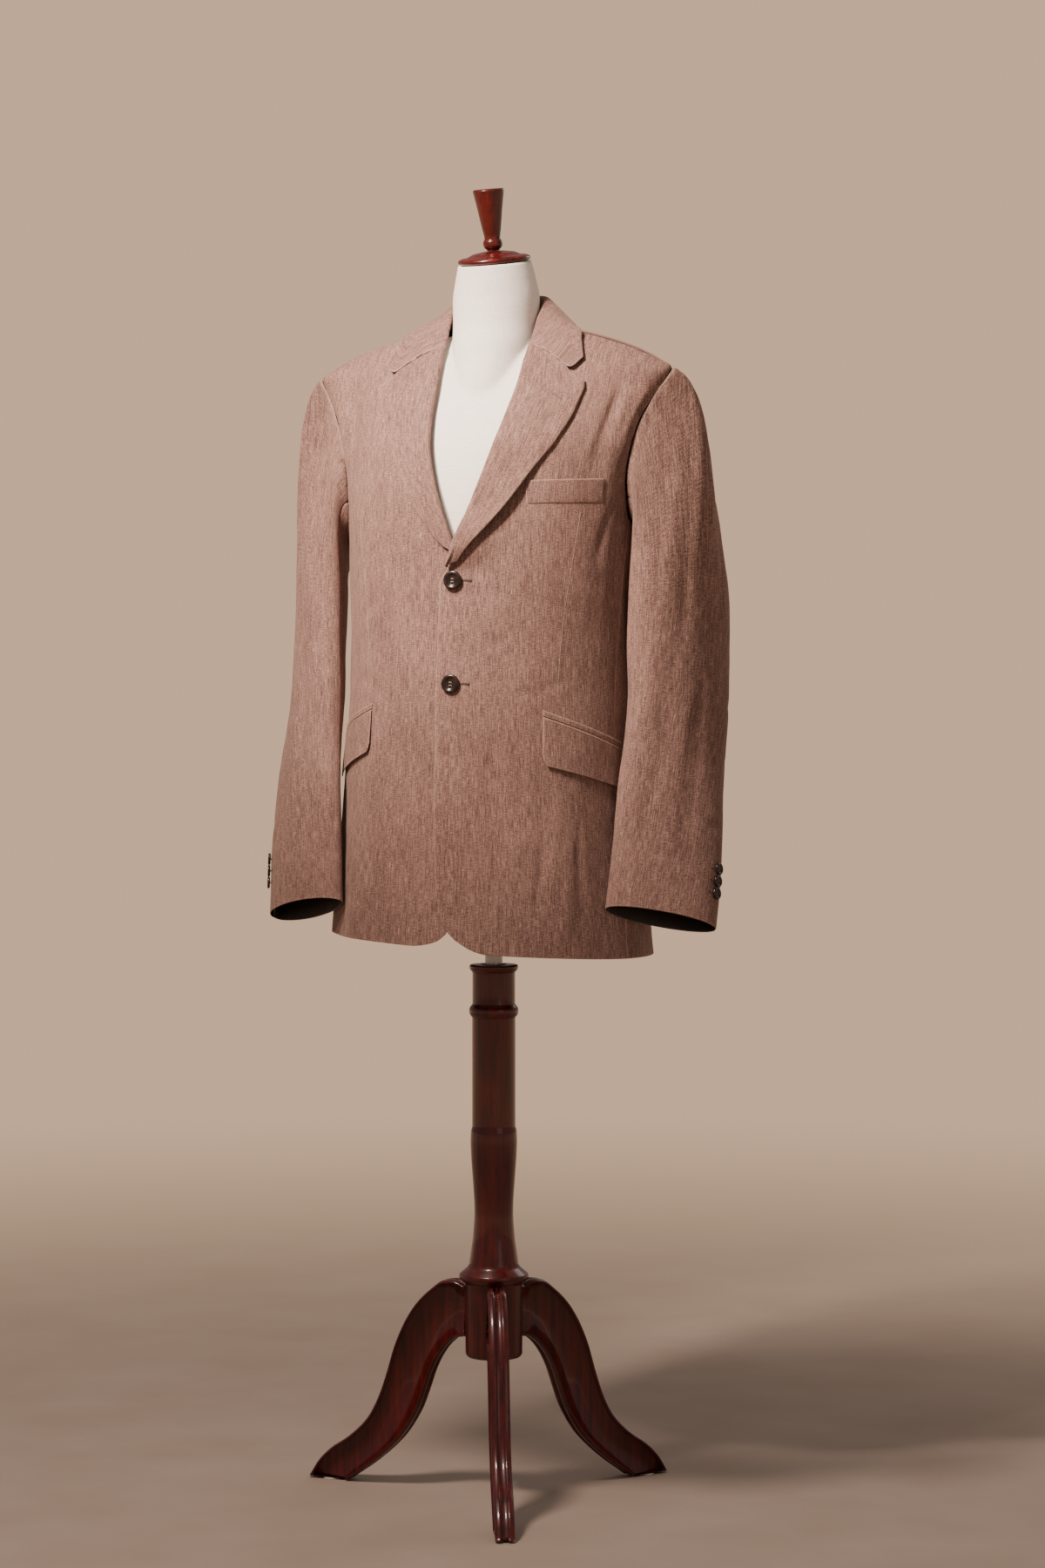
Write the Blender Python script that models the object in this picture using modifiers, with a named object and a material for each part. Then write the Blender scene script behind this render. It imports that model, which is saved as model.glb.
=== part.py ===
"""Two-button linen blazer worn on a limbless dress form with a turned wooden tripod stand.

Metres, Z up.  The form faces -Y and the wearer's left is +X.  While it is being built the stand's axis
is the Z axis; the last step moves everything so that the box of the whole object is centred on X and Y.
"""
import bmesh
import bpy
import math
from mathutils import Vector

DEG = math.pi / 180
MM = 0.001

# Cloth
WALL = 2.0 * MM              # wall of every blazer panel
LAPEL_WALL = 2.2 * MM        # lapels and collar, two layers
OVERLAP_LIFT = 1.6 * MM      # the left front rides this much out over the right one, which sinks as much
LAPEL_LIFT = 9.2 * MM        # the left front stands off this much more above its top button

# The blazer's outer surface in level rings:
# height, half width, depth before the axis, depth behind it, y of the side line, squareness
BODY = (
    (0.680, 0.2065, 0.175, 0.146, -0.004, 2.05),
    (0.750, 0.2010, 0.171, 0.145, -0.004, 2.05),
    (0.850, 0.1910, 0.166, 0.140, -0.004, 2.05),
    (0.950, 0.1840, 0.161, 0.130, -0.003, 2.05),
    (1.020, 0.1815, 0.157, 0.120, -0.002, 2.05),
    (1.080, 0.1815, 0.152, 0.117, 0.000, 2.05),
    (1.140, 0.1825, 0.149, 0.121, 0.000, 2.08),
    (1.200, 0.1835, 0.144, 0.129, 0.000, 2.10),
    (1.255, 0.1850, 0.137, 0.134, 0.000, 2.08),
    (1.300, 0.1915, 0.123, 0.133, 0.000, 2.05),
    (1.340, 0.2030, 0.097, 0.127, 0.001, 2.00),
    (1.380, 0.2200, 0.065, 0.114, 0.002, 2.00),
    (1.404, 0.2290, 0.048, 0.102, 0.003, 2.00),
    (1.414, 0.2150, 0.041, 0.097, 0.004, 2.00),
    (1.425, 0.1960, 0.033, 0.092, 0.005, 2.00),
    (1.436, 0.1700, 0.024, 0.086, 0.006, 2.00),
    (1.446, 0.1400, 0.016, 0.081, 0.007, 2.00),
    (1.455, 0.1060, 0.009, 0.077, 0.008, 2.00),
    (1.464, 0.0710, 0.003, 0.073, 0.009, 2.00),
    (1.480, 0.0600, 0.000, 0.070, 0.010, 2.00),
)

# Soft folds pressed into or out of the body: angle, height, half angle, half height, depth (mm, out is plus)
FOLDS = (
    (52, 1.345, 9, 0.085, -3.2),
    (66, 1.300, 7, 0.070, 2.0),
    (44, 1.100, 14, 0.100, -1.6),
    (22, 0.860, 9, 0.130, -2.2),
    (40, 0.760, 10, 0.110, 2.6),
    (58, 0.780, 8, 0.130, -3.0),
    (60, 1.070, 12, 0.070, -2.5),
    (142, 1.280, 9, 0.110, -3.2),
    (157, 1.180, 10, 0.120, 2.6),
    (150, 1.000, 11, 0.100, -3.2),
    (164, 0.840, 10, 0.150, 2.6),
    (142, 0.800, 9, 0.150, -3.0),
    (100, 0.980, 14, 0.100, -2.0),
    (96, 0.780, 12, 0.120, -4.0),
)


def slopes(rows, column):
    """Slopes at the rows of a table that keep the curve through one column free of overshoot."""
    steps = [(b[column] - a[column]) / (b[0] - a[0]) for a, b in zip(rows, rows[1:])]
    found = [steps[0]]
    for before, after in zip(steps, steps[1:]):
        same_way = before * after > 0
        found.append(2 * before * after / (before + after) if same_way else 0.0)
    return found + [steps[-1]]


def read(rows, at):
    """The values of a table at one place in its first column, on smooth curves through its rows."""
    at = min(max(at, rows[0][0]), rows[-1][0])
    i = 0
    while i < len(rows) - 2 and at > rows[i + 1][0]:
        i += 1
    width = rows[i + 1][0] - rows[i][0]
    t = (at - rows[i][0]) / width
    values = []
    for column in range(1, len(rows[0])):
        m = slopes(rows[max(i - 1, 0):i + 3], column)
        first = m[min(i, 1)]
        last = m[min(i, 1) + 1]
        values.append((2 * t**3 - 3 * t**2 + 1) * rows[i][column] + (t**3 - 2 * t**2 + t) * width * first
                      + (3 * t**2 - 2 * t**3) * rows[i + 1][column] + (t**3 - t**2) * width * last)
    return values


def body_point(angle, z):
    """A point of the blazer's left half: angle 0 is the centre front and 180 degrees the centre back."""
    half, front, back, side_y, square = read(BODY, z)
    across = math.copysign(abs(math.sin(angle)) ** (2 / square), math.sin(angle))
    along = abs(math.cos(angle)) ** (2 / square)
    depth = -(front + side_y) if math.cos(angle) > 0 else back - side_y
    return (half * across, side_y + depth * along, z)


def bump(x):
    """A soft hump that is 1 at 0 and 0 from 1 on."""
    return (1 - min(abs(x), 1.0) ** 2) ** 2


def ease(x):
    """A soft step from 0 to 1."""
    x = min(max(x, 0.0), 1.0)
    return x * x * (3 - 2 * x)


def fold_depth(angle, z):
    degrees = angle / DEG
    depth = sum(mm * bump((degrees - a) / (2 * wide)) * bump((z - height) / (1.6 * tall))
                for a, height, wide, tall, mm in FOLDS)
    return depth * MM * ease((1.415 - z) / 0.03)


def body_normal(angle, z):
    step = 0.002
    around = Vector(body_point(angle + step, z)) - Vector(body_point(angle - step, z))
    upward = Vector(body_point(angle, z + step)) - Vector(body_point(angle, z - step))
    return around.cross(upward).normalized()


def cloth_point(angle, z, out=0.0, side=1):
    """A point on the worn blazer, `out` metres off its outer face, on the wearer's left or right."""
    point = Vector(body_point(angle, z)) + (fold_depth(angle, z) + out) * body_normal(angle, z)
    return Vector((side * point.x, point.y, point.z))


# ---------------------------------------------------------------- meshes

def material(name, colour, roughness, metallic=0.0):
    made = bpy.data.materials.new(name)
    made.use_nodes = True
    shader = made.node_tree.nodes["Principled BSDF"]
    shader.inputs["Base Color"].default_value = (*colour, 1)
    shader.inputs["Roughness"].default_value = roughness
    shader.inputs["Metallic"].default_value = metallic
    return made


def add_mesh(name, points, faces, look):
    """Adds one named solid to the parts, its faces turned outwards."""
    mesh = bpy.data.meshes.new(name)
    mesh.from_pydata([tuple(p) for p in points], [], faces)
    mesh.materials.append(look)
    work = bmesh.new()
    work.from_mesh(mesh)
    bmesh.ops.recalc_face_normals(work, faces=work.faces)
    work.to_mesh(mesh)
    work.free()
    made = bpy.data.objects.new(name, mesh)
    PARTS.objects.link(made)
    return made


def grid_normals(grid):
    """Unit normals of a grid of points, pointing the way columns x rows turn."""
    rows = len(grid)
    columns = len(grid[0])
    normals = []
    for i in range(rows):
        line = []
        for j in range(columns):
            along = grid[i][min(j + 1, columns - 1)] - grid[i][max(j - 1, 0)]
            upward = grid[min(i + 1, rows - 1)][j] - grid[max(i - 1, 0)][j]
            line.append(along.cross(upward).normalized())
        normals.append(line)
    return normals


def add_wall(name, grid, look, inward=WALL, outward=0.0, flip=False):
    """One closed wall of cloth whose faces lie `outward` outside and `inward` inside the grid."""
    rows = len(grid)
    columns = len(grid[0])
    normals = grid_normals(grid)
    turn = -1 if flip else 1
    points = [grid[i][j] + turn * outward * normals[i][j] for i in range(rows) for j in range(columns)]
    points += [grid[i][j] - turn * inward * normals[i][j] for i in range(rows) for j in range(columns)]
    back = rows * columns
    faces = []
    for i in range(rows - 1):
        for j in range(columns - 1):
            a = i * columns + j
            faces.append((a, a + 1, a + columns + 1, a + columns))
            faces.append((back + a, back + a + columns, back + a + columns + 1, back + a + 1))
    rim = [j for j in range(columns)]
    rim += [i * columns + columns - 1 for i in range(1, rows)]
    rim += [(rows - 1) * columns + j for j in range(columns - 2, -1, -1)]
    rim += [i * columns for i in range(rows - 2, 0, -1)]
    for a, b in zip(rim, rim[1:] + rim[:1]):
        faces.append((b, a, back + a, back + b))
    return add_mesh(name, points, faces, look)


def add_loft(name, rings, look):
    """A closed solid through rings with the same number of points, capped flat at both ends."""
    count = len(rings[0])
    points = [p for ring in rings for p in ring]
    faces = [tuple(range(count - 1, -1, -1))]
    for i in range(len(rings) - 1):
        for j in range(count):
            a = i * count + j
            b = i * count + (j + 1) % count
            faces.append((a, b, b + count, a + count))
    last = (len(rings) - 1) * count
    faces.append(tuple(last + j for j in range(count)))
    return add_mesh(name, points, faces, look)


def add_turned(name, profile, look, steps=24):
    """A solid of revolution about Z from (radius, height) rows that run top to bottom down its outer side."""
    mesh = bpy.data.meshes.new(name)
    mesh.from_pydata([(r, 0, z) for r, z in profile], [(i, i + 1) for i in range(len(profile) - 1)], [])
    mesh.materials.append(look)
    made = bpy.data.objects.new(name, mesh)
    PARTS.objects.link(made)
    screw = made.modifiers.new("Turning", "SCREW")
    screw.axis = "Z"
    screw.steps = steps
    screw.render_steps = steps
    screw.use_merge_vertices = True
    screw.merge_threshold = 0.0001
    screw.use_normal_calculate = False
    screw.use_smooth_shade = False
    return made


# ---------------------------------------------------------------- blazer panels

# Front edge and roll line of a front, in its own half: height, x past the centre front (minus is past it)
FRONT_EDGE = (
    (0.7060, 0.0130),
    (0.7130, 0.0040),
    (0.7250, -0.0040),
    (0.7450, -0.0110),
    (0.7800, -0.0165),
    (0.8400, -0.0195),
    (0.9500, -0.0200),
    (1.1400, -0.0180),
    (1.1535, -0.0090),
    (1.1685, -0.0020),
    (1.2110, 0.0140),
    (1.2534, 0.0297),
    (1.2960, 0.0425),
    (1.3360, 0.0503),
    (1.3857, 0.0570),
    (1.4320, 0.0592),
    (1.4460, 0.0605),
    (1.4550, 0.0650),
    (1.4620, 0.0740),
)
# Side seams below the armhole: height, angle
FORE_SEAM_LINE = (
    (0.680, 70.0),
    (0.950, 71.5),
    (1.100, 76.0),
    (1.220, 82.5),
)
HIND_SEAM_LINE = (
    (0.680, 116.0),
    (0.900, 115.0),
    (1.100, 115.0),
    (1.222, 116.0),
)
# Armhole seam: turn about the sleeve (0 front, 90 top, 180 back, 270 foot), angle on the body, height
ARMHOLE = (
    (-90, 96.0, 1.2040),
    (-45, 82.5, 1.2200),
    (-15, 77.5, 1.2560),
    (0, 75.8, 1.2850),
    (30, 75.4, 1.3300),
    (60, 79.5, 1.3750),
    (90, 90.0, 1.4040),
    (120, 109.0, 1.3800),
    (150, 122.0, 1.3380),
    (180, 125.5, 1.2900),
    (205, 122.5, 1.2500),
    (230, 116.0, 1.2220),
    (270, 96.0, 1.2040),
)
FORE_TURN = -45              # where the side body's two seams meet the armhole
HIND_TURN = 230
HEM = 0.693                  # height of the hem on the centre line
HEM_RISE = 0.004             # the right front's hem hangs this much higher
HEM_TILT = 0.055             # how much lower it hangs, per metre towards the wearer's left
VENT_TOP = 0.905


def armhole(turn):
    degrees, z = read(ARMHOLE, (turn + 90) % 360 - 90)
    return degrees * DEG, z


def side_edge(z, seam_line, turns):
    """The angle of a side seam, and above its table that of the armhole between two turns."""
    if z <= seam_line[-1][0]:
        return read(seam_line, z)[0] * DEG
    low, high = turns
    for _ in range(30):
        middle = (low + high) / 2
        if armhole(middle)[1] < z:
            low = middle
        else:
            high = middle
    return armhole(low)[0]


def fore_edge(z):
    return side_edge(z, FORE_SEAM_LINE, (FORE_TURN, 90))


def hind_edge(z):
    return side_edge(z, HIND_SEAM_LINE, (HIND_TURN, 90))


def angle_at(x, z):
    """The angle at which the body is x metres from its centre line."""
    half, _, _, _, square = read(BODY, z)
    share = min(abs(x) / half, 1.0) ** (square / 2)
    return math.copysign(math.asin(share), x)


def patch(left, right, bottom, top, rows, columns):
    """A grid of (angle, height) between four edges, each a function from 0..1 to (angle, height).

    Rows run straight from the left edge to the right one, bent only near the bottom and top edges.
    """
    grid = []
    for v in rows:
        line = []
        for u in columns:
            pair = []
            for k in (0, 1):
                ruled = (1 - u) * left(v)[k] + u * right(v)[k]
                foot = bottom(u)[k] - (1 - u) * left(0)[k] - u * right(0)[k]
                head = top(u)[k] - (1 - u) * left(1)[k] - u * right(1)[k]
                pair.append(ruled + (1 - v) ** 6 * foot + v ** 10 * head)
            line.append(tuple(pair))
        grid.append(line)
    return grid


def panel_rows(low, foot):
    """Rows of a front or a back as shares of its height, level with those of the side body."""
    share = (foot - low) / (SHOULDER_POINT - low)
    return [share * f for f in LOW_ROWS] + [share + (1 - share) * g for g in TOP_ROWS]


def straight(a, b):
    return lambda t: (a[0] + (b[0] - a[0]) * t, a[1] + (b[1] - a[1]) * t)


# Rows shared by neighbouring panels: shares of the way from the hem to the armhole's foot, and on up from there
LOW_ROWS = (0, 0.03, 0.075, 0.14, 0.21, 0.29, 0.37, 0.41, 0.45, 0.53, 0.61, 0.69, 0.77, 0.85, 0.93, 1)
TOP_ROWS = (0.09, 0.20, 0.32, 0.46, 0.60, 0.74, 0.87, 1)
FORE_FOOT = 1.220
HIND_FOOT = 1.222
SEAM_TURN = 0.0019           # half of the gap at a seam, as an angle on the body
FRONT_COLUMNS = [0, 0.07, 0.17, 0.29, 0.42, 0.55, 0.68, 0.79, 0.90, 1]
NECK_POINT = 1.462
SHOULDER_POINT = 1.404
NECK_BACK = 1.470


def hem_height(angle, side):
    rise = HEM_RISE * ease((1.9 - angle) / 0.4) if side < 0 else 0.0
    return HEM + rise - HEM_TILT * side * body_point(angle, HEM)[0]


def front_point(angle, z, out, side):
    """A point on a front, whose edge rides over the other front's or lies under it."""
    x = body_point(angle, z)[0]
    lap = side * OVERLAP_LIFT * ease((0.062 - x) / 0.045) * ease((1.225 - z) / 0.05)
    if side > 0:
        lap += LAPEL_LIFT * bump((z - 1.190) / 0.043) * ease((0.075 - x) / 0.06)
    return cloth_point(angle, z, out + lap, side)


def front_panel(side):
    """Front: from the front edge and roll line to the side seam and armhole."""
    start = FRONT_EDGE[0][0]
    low = hem_height(FORE_SEAM_LINE[0][1] * DEG, side)

    def edge(v):
        z = start + (NECK_POINT - start) * v
        return (angle_at(read(FRONT_EDGE, z)[0], z), z)

    def seam(v):
        z = low + (SHOULDER_POINT - low) * v
        return (fore_edge(z) - SEAM_TURN, z)

    def hem(u):
        angle = edge(0)[0] + (seam(0)[0] - edge(0)[0]) * u
        rise = max(0.0, 1 - u / 0.16) ** 2
        return (angle, hem_height(angle, side) + rise * (start - hem_height(edge(0)[0], side)))

    shoulder = straight((edge(1)[0], NECK_POINT), seam(1))
    grid = patch(edge, seam, hem, shoulder, panel_rows(low, FORE_FOOT), FRONT_COLUMNS)
    return [[front_point(angle, z, 0.0, side) for angle, z in line] for line in grid]


def side_panel(side):
    """Side body: from the front's side seam to the back seam, its top edge the foot of the armhole."""
    fore_low = hem_height(FORE_SEAM_LINE[0][1] * DEG, side)
    hind_low = hem_height(HIND_SEAM_LINE[0][1] * DEG, side)

    def fore(v):
        z = fore_low + (FORE_FOOT - fore_low) * v
        return (fore_edge(z) + SEAM_TURN, z)

    def hind(v):
        z = hind_low + (HIND_FOOT - hind_low) * v
        return (hind_edge(z) - SEAM_TURN, z)

    def foot(u):
        angle, z = armhole(FORE_TURN + (HIND_TURN - 360 - FORE_TURN) * u)
        return (angle + SEAM_TURN * (1 - 2 * u), z)

    columns = [i / 5 for i in range(6)]
    grid = patch(fore, hind, straight(fore(0), hind(0)), foot, LOW_ROWS, columns)
    return [[cloth_point(angle, z, 0.0, side) for angle, z in line] for line in grid]


def back_panel(side):
    """Back: from the side seam and armhole to the centre back seam, lapped under the side at the vent."""
    low = hem_height(HIND_SEAM_LINE[0][1] * DEG, side)

    def seam(v):
        z = low + (SHOULDER_POINT - low) * v
        lap = 4.5 * DEG * ease((VENT_TOP - z) / 0.03)
        return (hind_edge(z) + SEAM_TURN - lap + 1.4 * DEG * ease((z - 1.385) / 0.02), z)

    def middle(z):
        return math.pi - 0.0008 / read(BODY, z)[0]

    def centre(v):
        z = HEM + (NECK_BACK - HEM) * v
        return (middle(z), z)

    def top(u):
        ridge = 92 * DEG
        if u < 0.62:
            return (ridge + (seam(1)[0] - ridge) * (1 - u / 0.62),
                    SHOULDER_POINT + (NECK_POINT - SHOULDER_POINT) * u / 0.62)
        t = (u - 0.62) / 0.38
        return (ridge + (middle(NECK_BACK) - ridge) * t, NECK_POINT + (NECK_BACK - NECK_POINT) * ease(t))

    rows = panel_rows(low, HIND_FOOT)
    columns = [0, 0.07, 0.20, 0.34, 0.48, 0.62, 0.74, 0.87, 1]
    grid = []
    for line in patch(seam, centre, straight(seam(0), centre(0)), top, rows, columns):
        row = []
        for u, (angle, z) in zip(columns, line):
            under = -3.6 * MM * ease((VENT_TOP + 0.03 - z) / 0.025) * ease((0.19 - u) / 0.08)
            row.append(cloth_point(angle, z, under, side))
        grid.append(row)
    return grid


# ---------------------------------------------------------------- sleeves

# Sleeve rings, height of the centre, x, y, half length, half breadth, turn of the long side (degrees)
SLEEVE_LEFT = (
    (0.7310, 0.2352, -0.0600, 0.0700, 0.0230, -56),
    (0.8100, 0.2367, -0.0390, 0.0725, 0.0260, -48),
    (0.9000, 0.2344, -0.0130, 0.0760, 0.0300, -39),
    (1.0000, 0.2320, 0.0150, 0.0815, 0.0365, -32),
    (1.0800, 0.2300, 0.0300, 0.0830, 0.0400, -28),
    (1.1300, 0.2290, 0.0370, 0.0835, 0.0415, -26),
)
SLEEVE_RIGHT = (
    (0.7360, 0.2205, -0.0775, 0.0745, 0.0230, -56),
    (0.8100, 0.2245, -0.0640, 0.0745, 0.0265, -53),
    (0.9000, 0.2275, -0.0410, 0.0765, 0.0305, -45),
    (1.0000, 0.2295, -0.0020, 0.0790, 0.0355, -35),
    (1.0800, 0.2355, 0.0270, 0.0800, 0.0390, -28),
    (1.1300, 0.2360, 0.0370, 0.0805, 0.0400, -26),
)
INNER_FLAT = 0.62            # the side of a sleeve against the body is pressed this flat
HIND_SEAM = 180.0
FORE_SEAM = -22.0
CAP_STEPS = [0, 0.035, 0.10, 0.18, 0.28, 0.40, 0.54, 0.70, 0.86]
ARM_STEPS = 10


def sleeve_ring(table, turn, z):
    x, y, long_half, short_half, twist = read(table, z)
    front = Vector((math.sin(twist * DEG), -math.cos(twist * DEG), 0))
    outer = Vector((math.cos(twist * DEG), math.sin(twist * DEG), 0))
    c = math.cos(turn * DEG)
    s = math.sin(turn * DEG)
    slant = ease((0.85 - z) / 0.12)
    dent = 1 - 0.10 * bump((z - 0.985) / 0.10) * bump((s + 0.2) / 0.8) * (0.5 + 0.5 * c)
    level = z + slant * (0.014 * c + 0.010 * s)
    short = short_half * (s if s > 0 else s * (1 - (1 - INNER_FLAT) * ease(-s * 2)))
    return Vector((x, y, level)) + front * long_half * c * dent + outer * short


def sleeve_point(table, turn, step, side):
    """A point of the sleeve: steps 0 to 1 run from the armhole to the upper arm, 1 to 2 down to the cuff."""
    upper = table[-1][0]
    if step > 1:
        z = upper + (table[0][0] - upper) * (step - 1)
        point = sleeve_ring(table, turn, z)
        return Vector((side * point.x, point.y, point.z))
    angle, z = armhole(turn)
    normal = body_normal(angle, z)
    near = Vector(body_point(*armhole(turn + 2))) - Vector(body_point(*armhole(turn - 2)))
    beyond = normal.cross(near).normalized()
    up = math.sin(turn * DEG)
    reach = 0.060 + 0.085 * max(up, 0) ** 1.5
    forward = -0.030 * math.cos(turn * DEG)
    leave = Vector((reach, forward * (1 - abs(up)) + 0.105 * max(up, 0), -0.060 * max(up, 0) - 0.006))
    share = abs(leave.normalized().dot(beyond))
    start = Vector(body_point(angle, z)) + normal * (share * WALL / 2 + 1.3 * MM)
    end = sleeve_ring(table, turn, upper)
    drop = max(0.06, (start.z - end.z) * 1.05)
    arrive = Vector((-0.012 * max(up, 0), 0, -drop))
    t = step
    point = ((2 * t**3 - 3 * t**2 + 1) * start + (t**3 - 2 * t**2 + t) * leave
             + (3 * t**2 - 2 * t**3) * end + (t**3 - t**2) * arrive)
    head = bump((t - 0.22) / 0.40)
    point.x -= head * 0.0032 * (bump((turn - 62) / 20) + bump((turn - 120) / 22))
    point.x += head * 0.0016 * bump((turn - 90) / 16)
    return Vector((side * point.x, point.y, point.z))


def sleeve_grid(table, first, last, columns, side):
    steps = CAP_STEPS + [1 + i / ARM_STEPS for i in range(ARM_STEPS + 1)]
    turns = [first + (last - first) * j / (columns - 1) for j in range(columns)]
    return [[sleeve_point(table, turn, step, side) for turn in turns] for step in steps]


# ---------------------------------------------------------------- lapels and collar

# Rows of a lapel from the break up: share of its length, roll line (x, z), outer edge (angle, z)
LAPEL_LEFT = (
    (0.00, -0.0070, 1.1575, 2.0, 1.1640),
    (0.07, -0.0015, 1.1695, 5.5, 1.1790),
    (0.16, 0.0060, 1.1900, 12.0, 1.2050),
    (0.32, 0.0205, 1.2290, 20.5, 1.2400),
    (0.50, 0.0360, 1.2740, 29.0, 1.2800),
    (0.66, 0.0460, 1.3120, 35.5, 1.3120),
    (0.80, 0.0525, 1.3500, 38.6, 1.3470),
    (0.92, 0.0570, 1.3900, 38.4, 1.3740),
    (1.00, 0.0590, 1.4300, 37.4, 1.3875),
)
LAPEL_RIGHT = (
    (0.00, 0.0014, 1.1760, 4.2, 1.1830),
    (0.07, 0.0036, 1.1835, 6.4, 1.1905),
    (0.16, 0.0080, 1.1950, 9.5, 1.2040),
    (0.32, 0.0215, 1.2310, 17.5, 1.2400),
    (0.50, 0.0360, 1.2740, 25.0, 1.2820),
    (0.66, 0.0460, 1.3120, 31.0, 1.3160),
    (0.80, 0.0525, 1.3500, 35.0, 1.3490),
    (0.92, 0.0570, 1.3900, 37.2, 1.3760),
    (1.00, 0.0590, 1.4300, 37.4, 1.3880),
)
# Section of the rolled edge: distance past the roll line and height off the front, in mm
ROLL = ((-1.9, -1.6), (-4.1, 0.2), (-4.5, 2.8), (-2.6, 5.4), (1.8, 6.6))
LAPEL_FLAT = (0.12, 0.28, 0.46, 0.64, 0.82, 1.0)


def lapel_grid(table, side):
    grid = []
    for share in (0, 0.05, 0.11, 0.19, 0.29, 0.40, 0.51, 0.62, 0.72, 0.82, 0.91, 1):
        x, z, far_angle, far_z = read(table, share)
        angle = angle_at(x, z)
        width = (Vector(body_point(far_angle * DEG, far_z)) - Vector(body_point(angle, z))).length
        stand = 7.0 * MM * bump((share - 0.27) / 0.30) if side > 0 else 2.0 * MM * bump((share - 0.3) / 0.3)
        row = []
        rolled = ease(share / 0.13 + (0.0 if side > 0 else 0.75))
        for past, height in ROLL:
            t = past * (0.3 + 0.7 * rolled) * MM / width
            row.append(front_point(angle + (far_angle * DEG - angle) * t, z + (far_z - z) * t,
                                   (height + 0.7 + 2.3 * (1 - rolled)) * MM, side))
        for t in LAPEL_FLAT:
            reach = 1.8 * MM / width
            t = reach + (1 - reach) * t
            height = 7.0 * MM - 2.4 * MM * t + stand * t ** 1.3
            row.append(front_point(angle + (far_angle * DEG - angle) * t, z + (far_z - z) * t, height, side))
        grid.append(row)
    return grid


# Collar, from the centre back (0) to its front end (1): neckline, outer edge (angle, z each)
COLLAR = (
    (0.00, 180.0, 1.4700, 180.0, 1.4560),
    (0.20, 153.0, 1.4680, 158.0, 1.4550),
    (0.36, 130.0, 1.4660, 136.0, 1.4530),
    (0.50, 110.0, 1.4640, 114.0, 1.4550),
    (0.64, 88.0, 1.4620, 90.0, 1.4570),
    (0.76, 38.0, 1.4550, 64.0, 1.4500),
    (0.88, 25.5, 1.4460, 44.0, 1.4350),
    (1.00, 20.5, 1.4360, 37.4, 1.4180),
)
# Its top fold: share, x, y, z
COLLAR_FOLD = (
    (0.00, 0.0000, 0.0735, 1.5060),
    (0.20, 0.0300, 0.0680, 1.5050),
    (0.36, 0.0490, 0.0520, 1.5020),
    (0.50, 0.0590, 0.0320, 1.4960),
    (0.64, 0.0610, 0.0120, 1.4830),
    (0.76, 0.0600, -0.0020, 1.4680),
    (0.88, 0.0595, -0.0140, 1.4510),
    (1.00, 0.0590, -0.0290, 1.4350),
)
NOTCH = (29.2, 1.4012)
COLLAR_SHARES = (0, 0.12, 0.24, 0.36, 0.47, 0.57, 0.66, 0.75, 0.84, 0.92, 1)


def collar_row(share, side):
    """One section of the collar, from the foot of its stand over the fold to its outer edge."""
    neck_angle, neck_z, edge_angle, edge_z = read(COLLAR, share)
    fold = Vector(read(COLLAR_FOLD, share))
    foot = Vector(body_point(neck_angle * DEG, neck_z))
    inwards = Vector((-foot.x, 0.010 - foot.y, 0)).normalized()
    foot = foot + inwards * 3.4 * MM + Vector((0, 0, 0.8 * MM))
    edge = cloth_point(edge_angle * DEG, edge_z, 5.6 * MM)
    end = ease((share - 0.84) / 0.16)
    tall = max(min((fold.z - foot.z) / 0.02, 1.0), 0.15)
    row = [foot, foot.lerp(fold, 0.5) + inwards * 0.8 * MM]
    row.append(fold + inwards * 2.2 * MM + Vector((0, 0, -3.2 * MM * tall)))
    row.append(fold)
    row.append(fold - inwards * 3.2 * MM + Vector((0, 0, -1.2 * MM)))
    shoulder = row[-1]
    for t in (0.22, 0.45, 0.72, 1.0):
        straight_down = shoulder.lerp(edge, t) + Vector((0, 0, 2.0 * MM * 4 * t * (1 - t)))
        if t < 0.7:
            share_down = t / 0.7
            pair = (24.5 + (NOTCH[0] - 24.5) * share_down, 1.4335 + (NOTCH[1] - 1.4335) * share_down)
        else:
            share_down = (t - 0.7) / 0.3
            pair = (NOTCH[0] + (edge_angle - NOTCH[0]) * share_down, NOTCH[1] + (edge_z - NOTCH[1]) * share_down)
        at_end = cloth_point(pair[0] * DEG, pair[1], 6.4 * MM - 0.8 * MM * t)
        row.append(straight_down.lerp(at_end, end))
    return [Vector((side * p.x, p.y, p.z)) for p in row]


def collar_grid():
    rows = [collar_row(share, -1) for share in reversed(COLLAR_SHARES)]
    return rows + [collar_row(share, 1) for share in COLLAR_SHARES[1:]]


# ---------------------------------------------------------------- pockets and buttons

# Each laid piece: four corners (angle, z) from the front foot, round by the hind foot, to the front top
WELT = ((26.4, 1.2334), (61.6, 1.2363), (61.6, 1.2660), (25.6, 1.2618))
JET_LEFT = ((35.6, 0.9775), (76.0, 0.9375), (76.0, 0.9445), (35.6, 0.9845))
JET_RIGHT = ((38.3, 0.9865), (76.0, 0.9530), (76.0, 0.9600), (38.3, 0.9935))
FLAP_LEFT = ((34.9, 0.9180), (75.0, 0.8880), (76.0, 0.9365), (35.6, 0.9765))
FLAP_RIGHT = ((37.8, 0.9345), (75.0, 0.9000), (76.0, 0.9520), (38.3, 0.9855))


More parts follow.
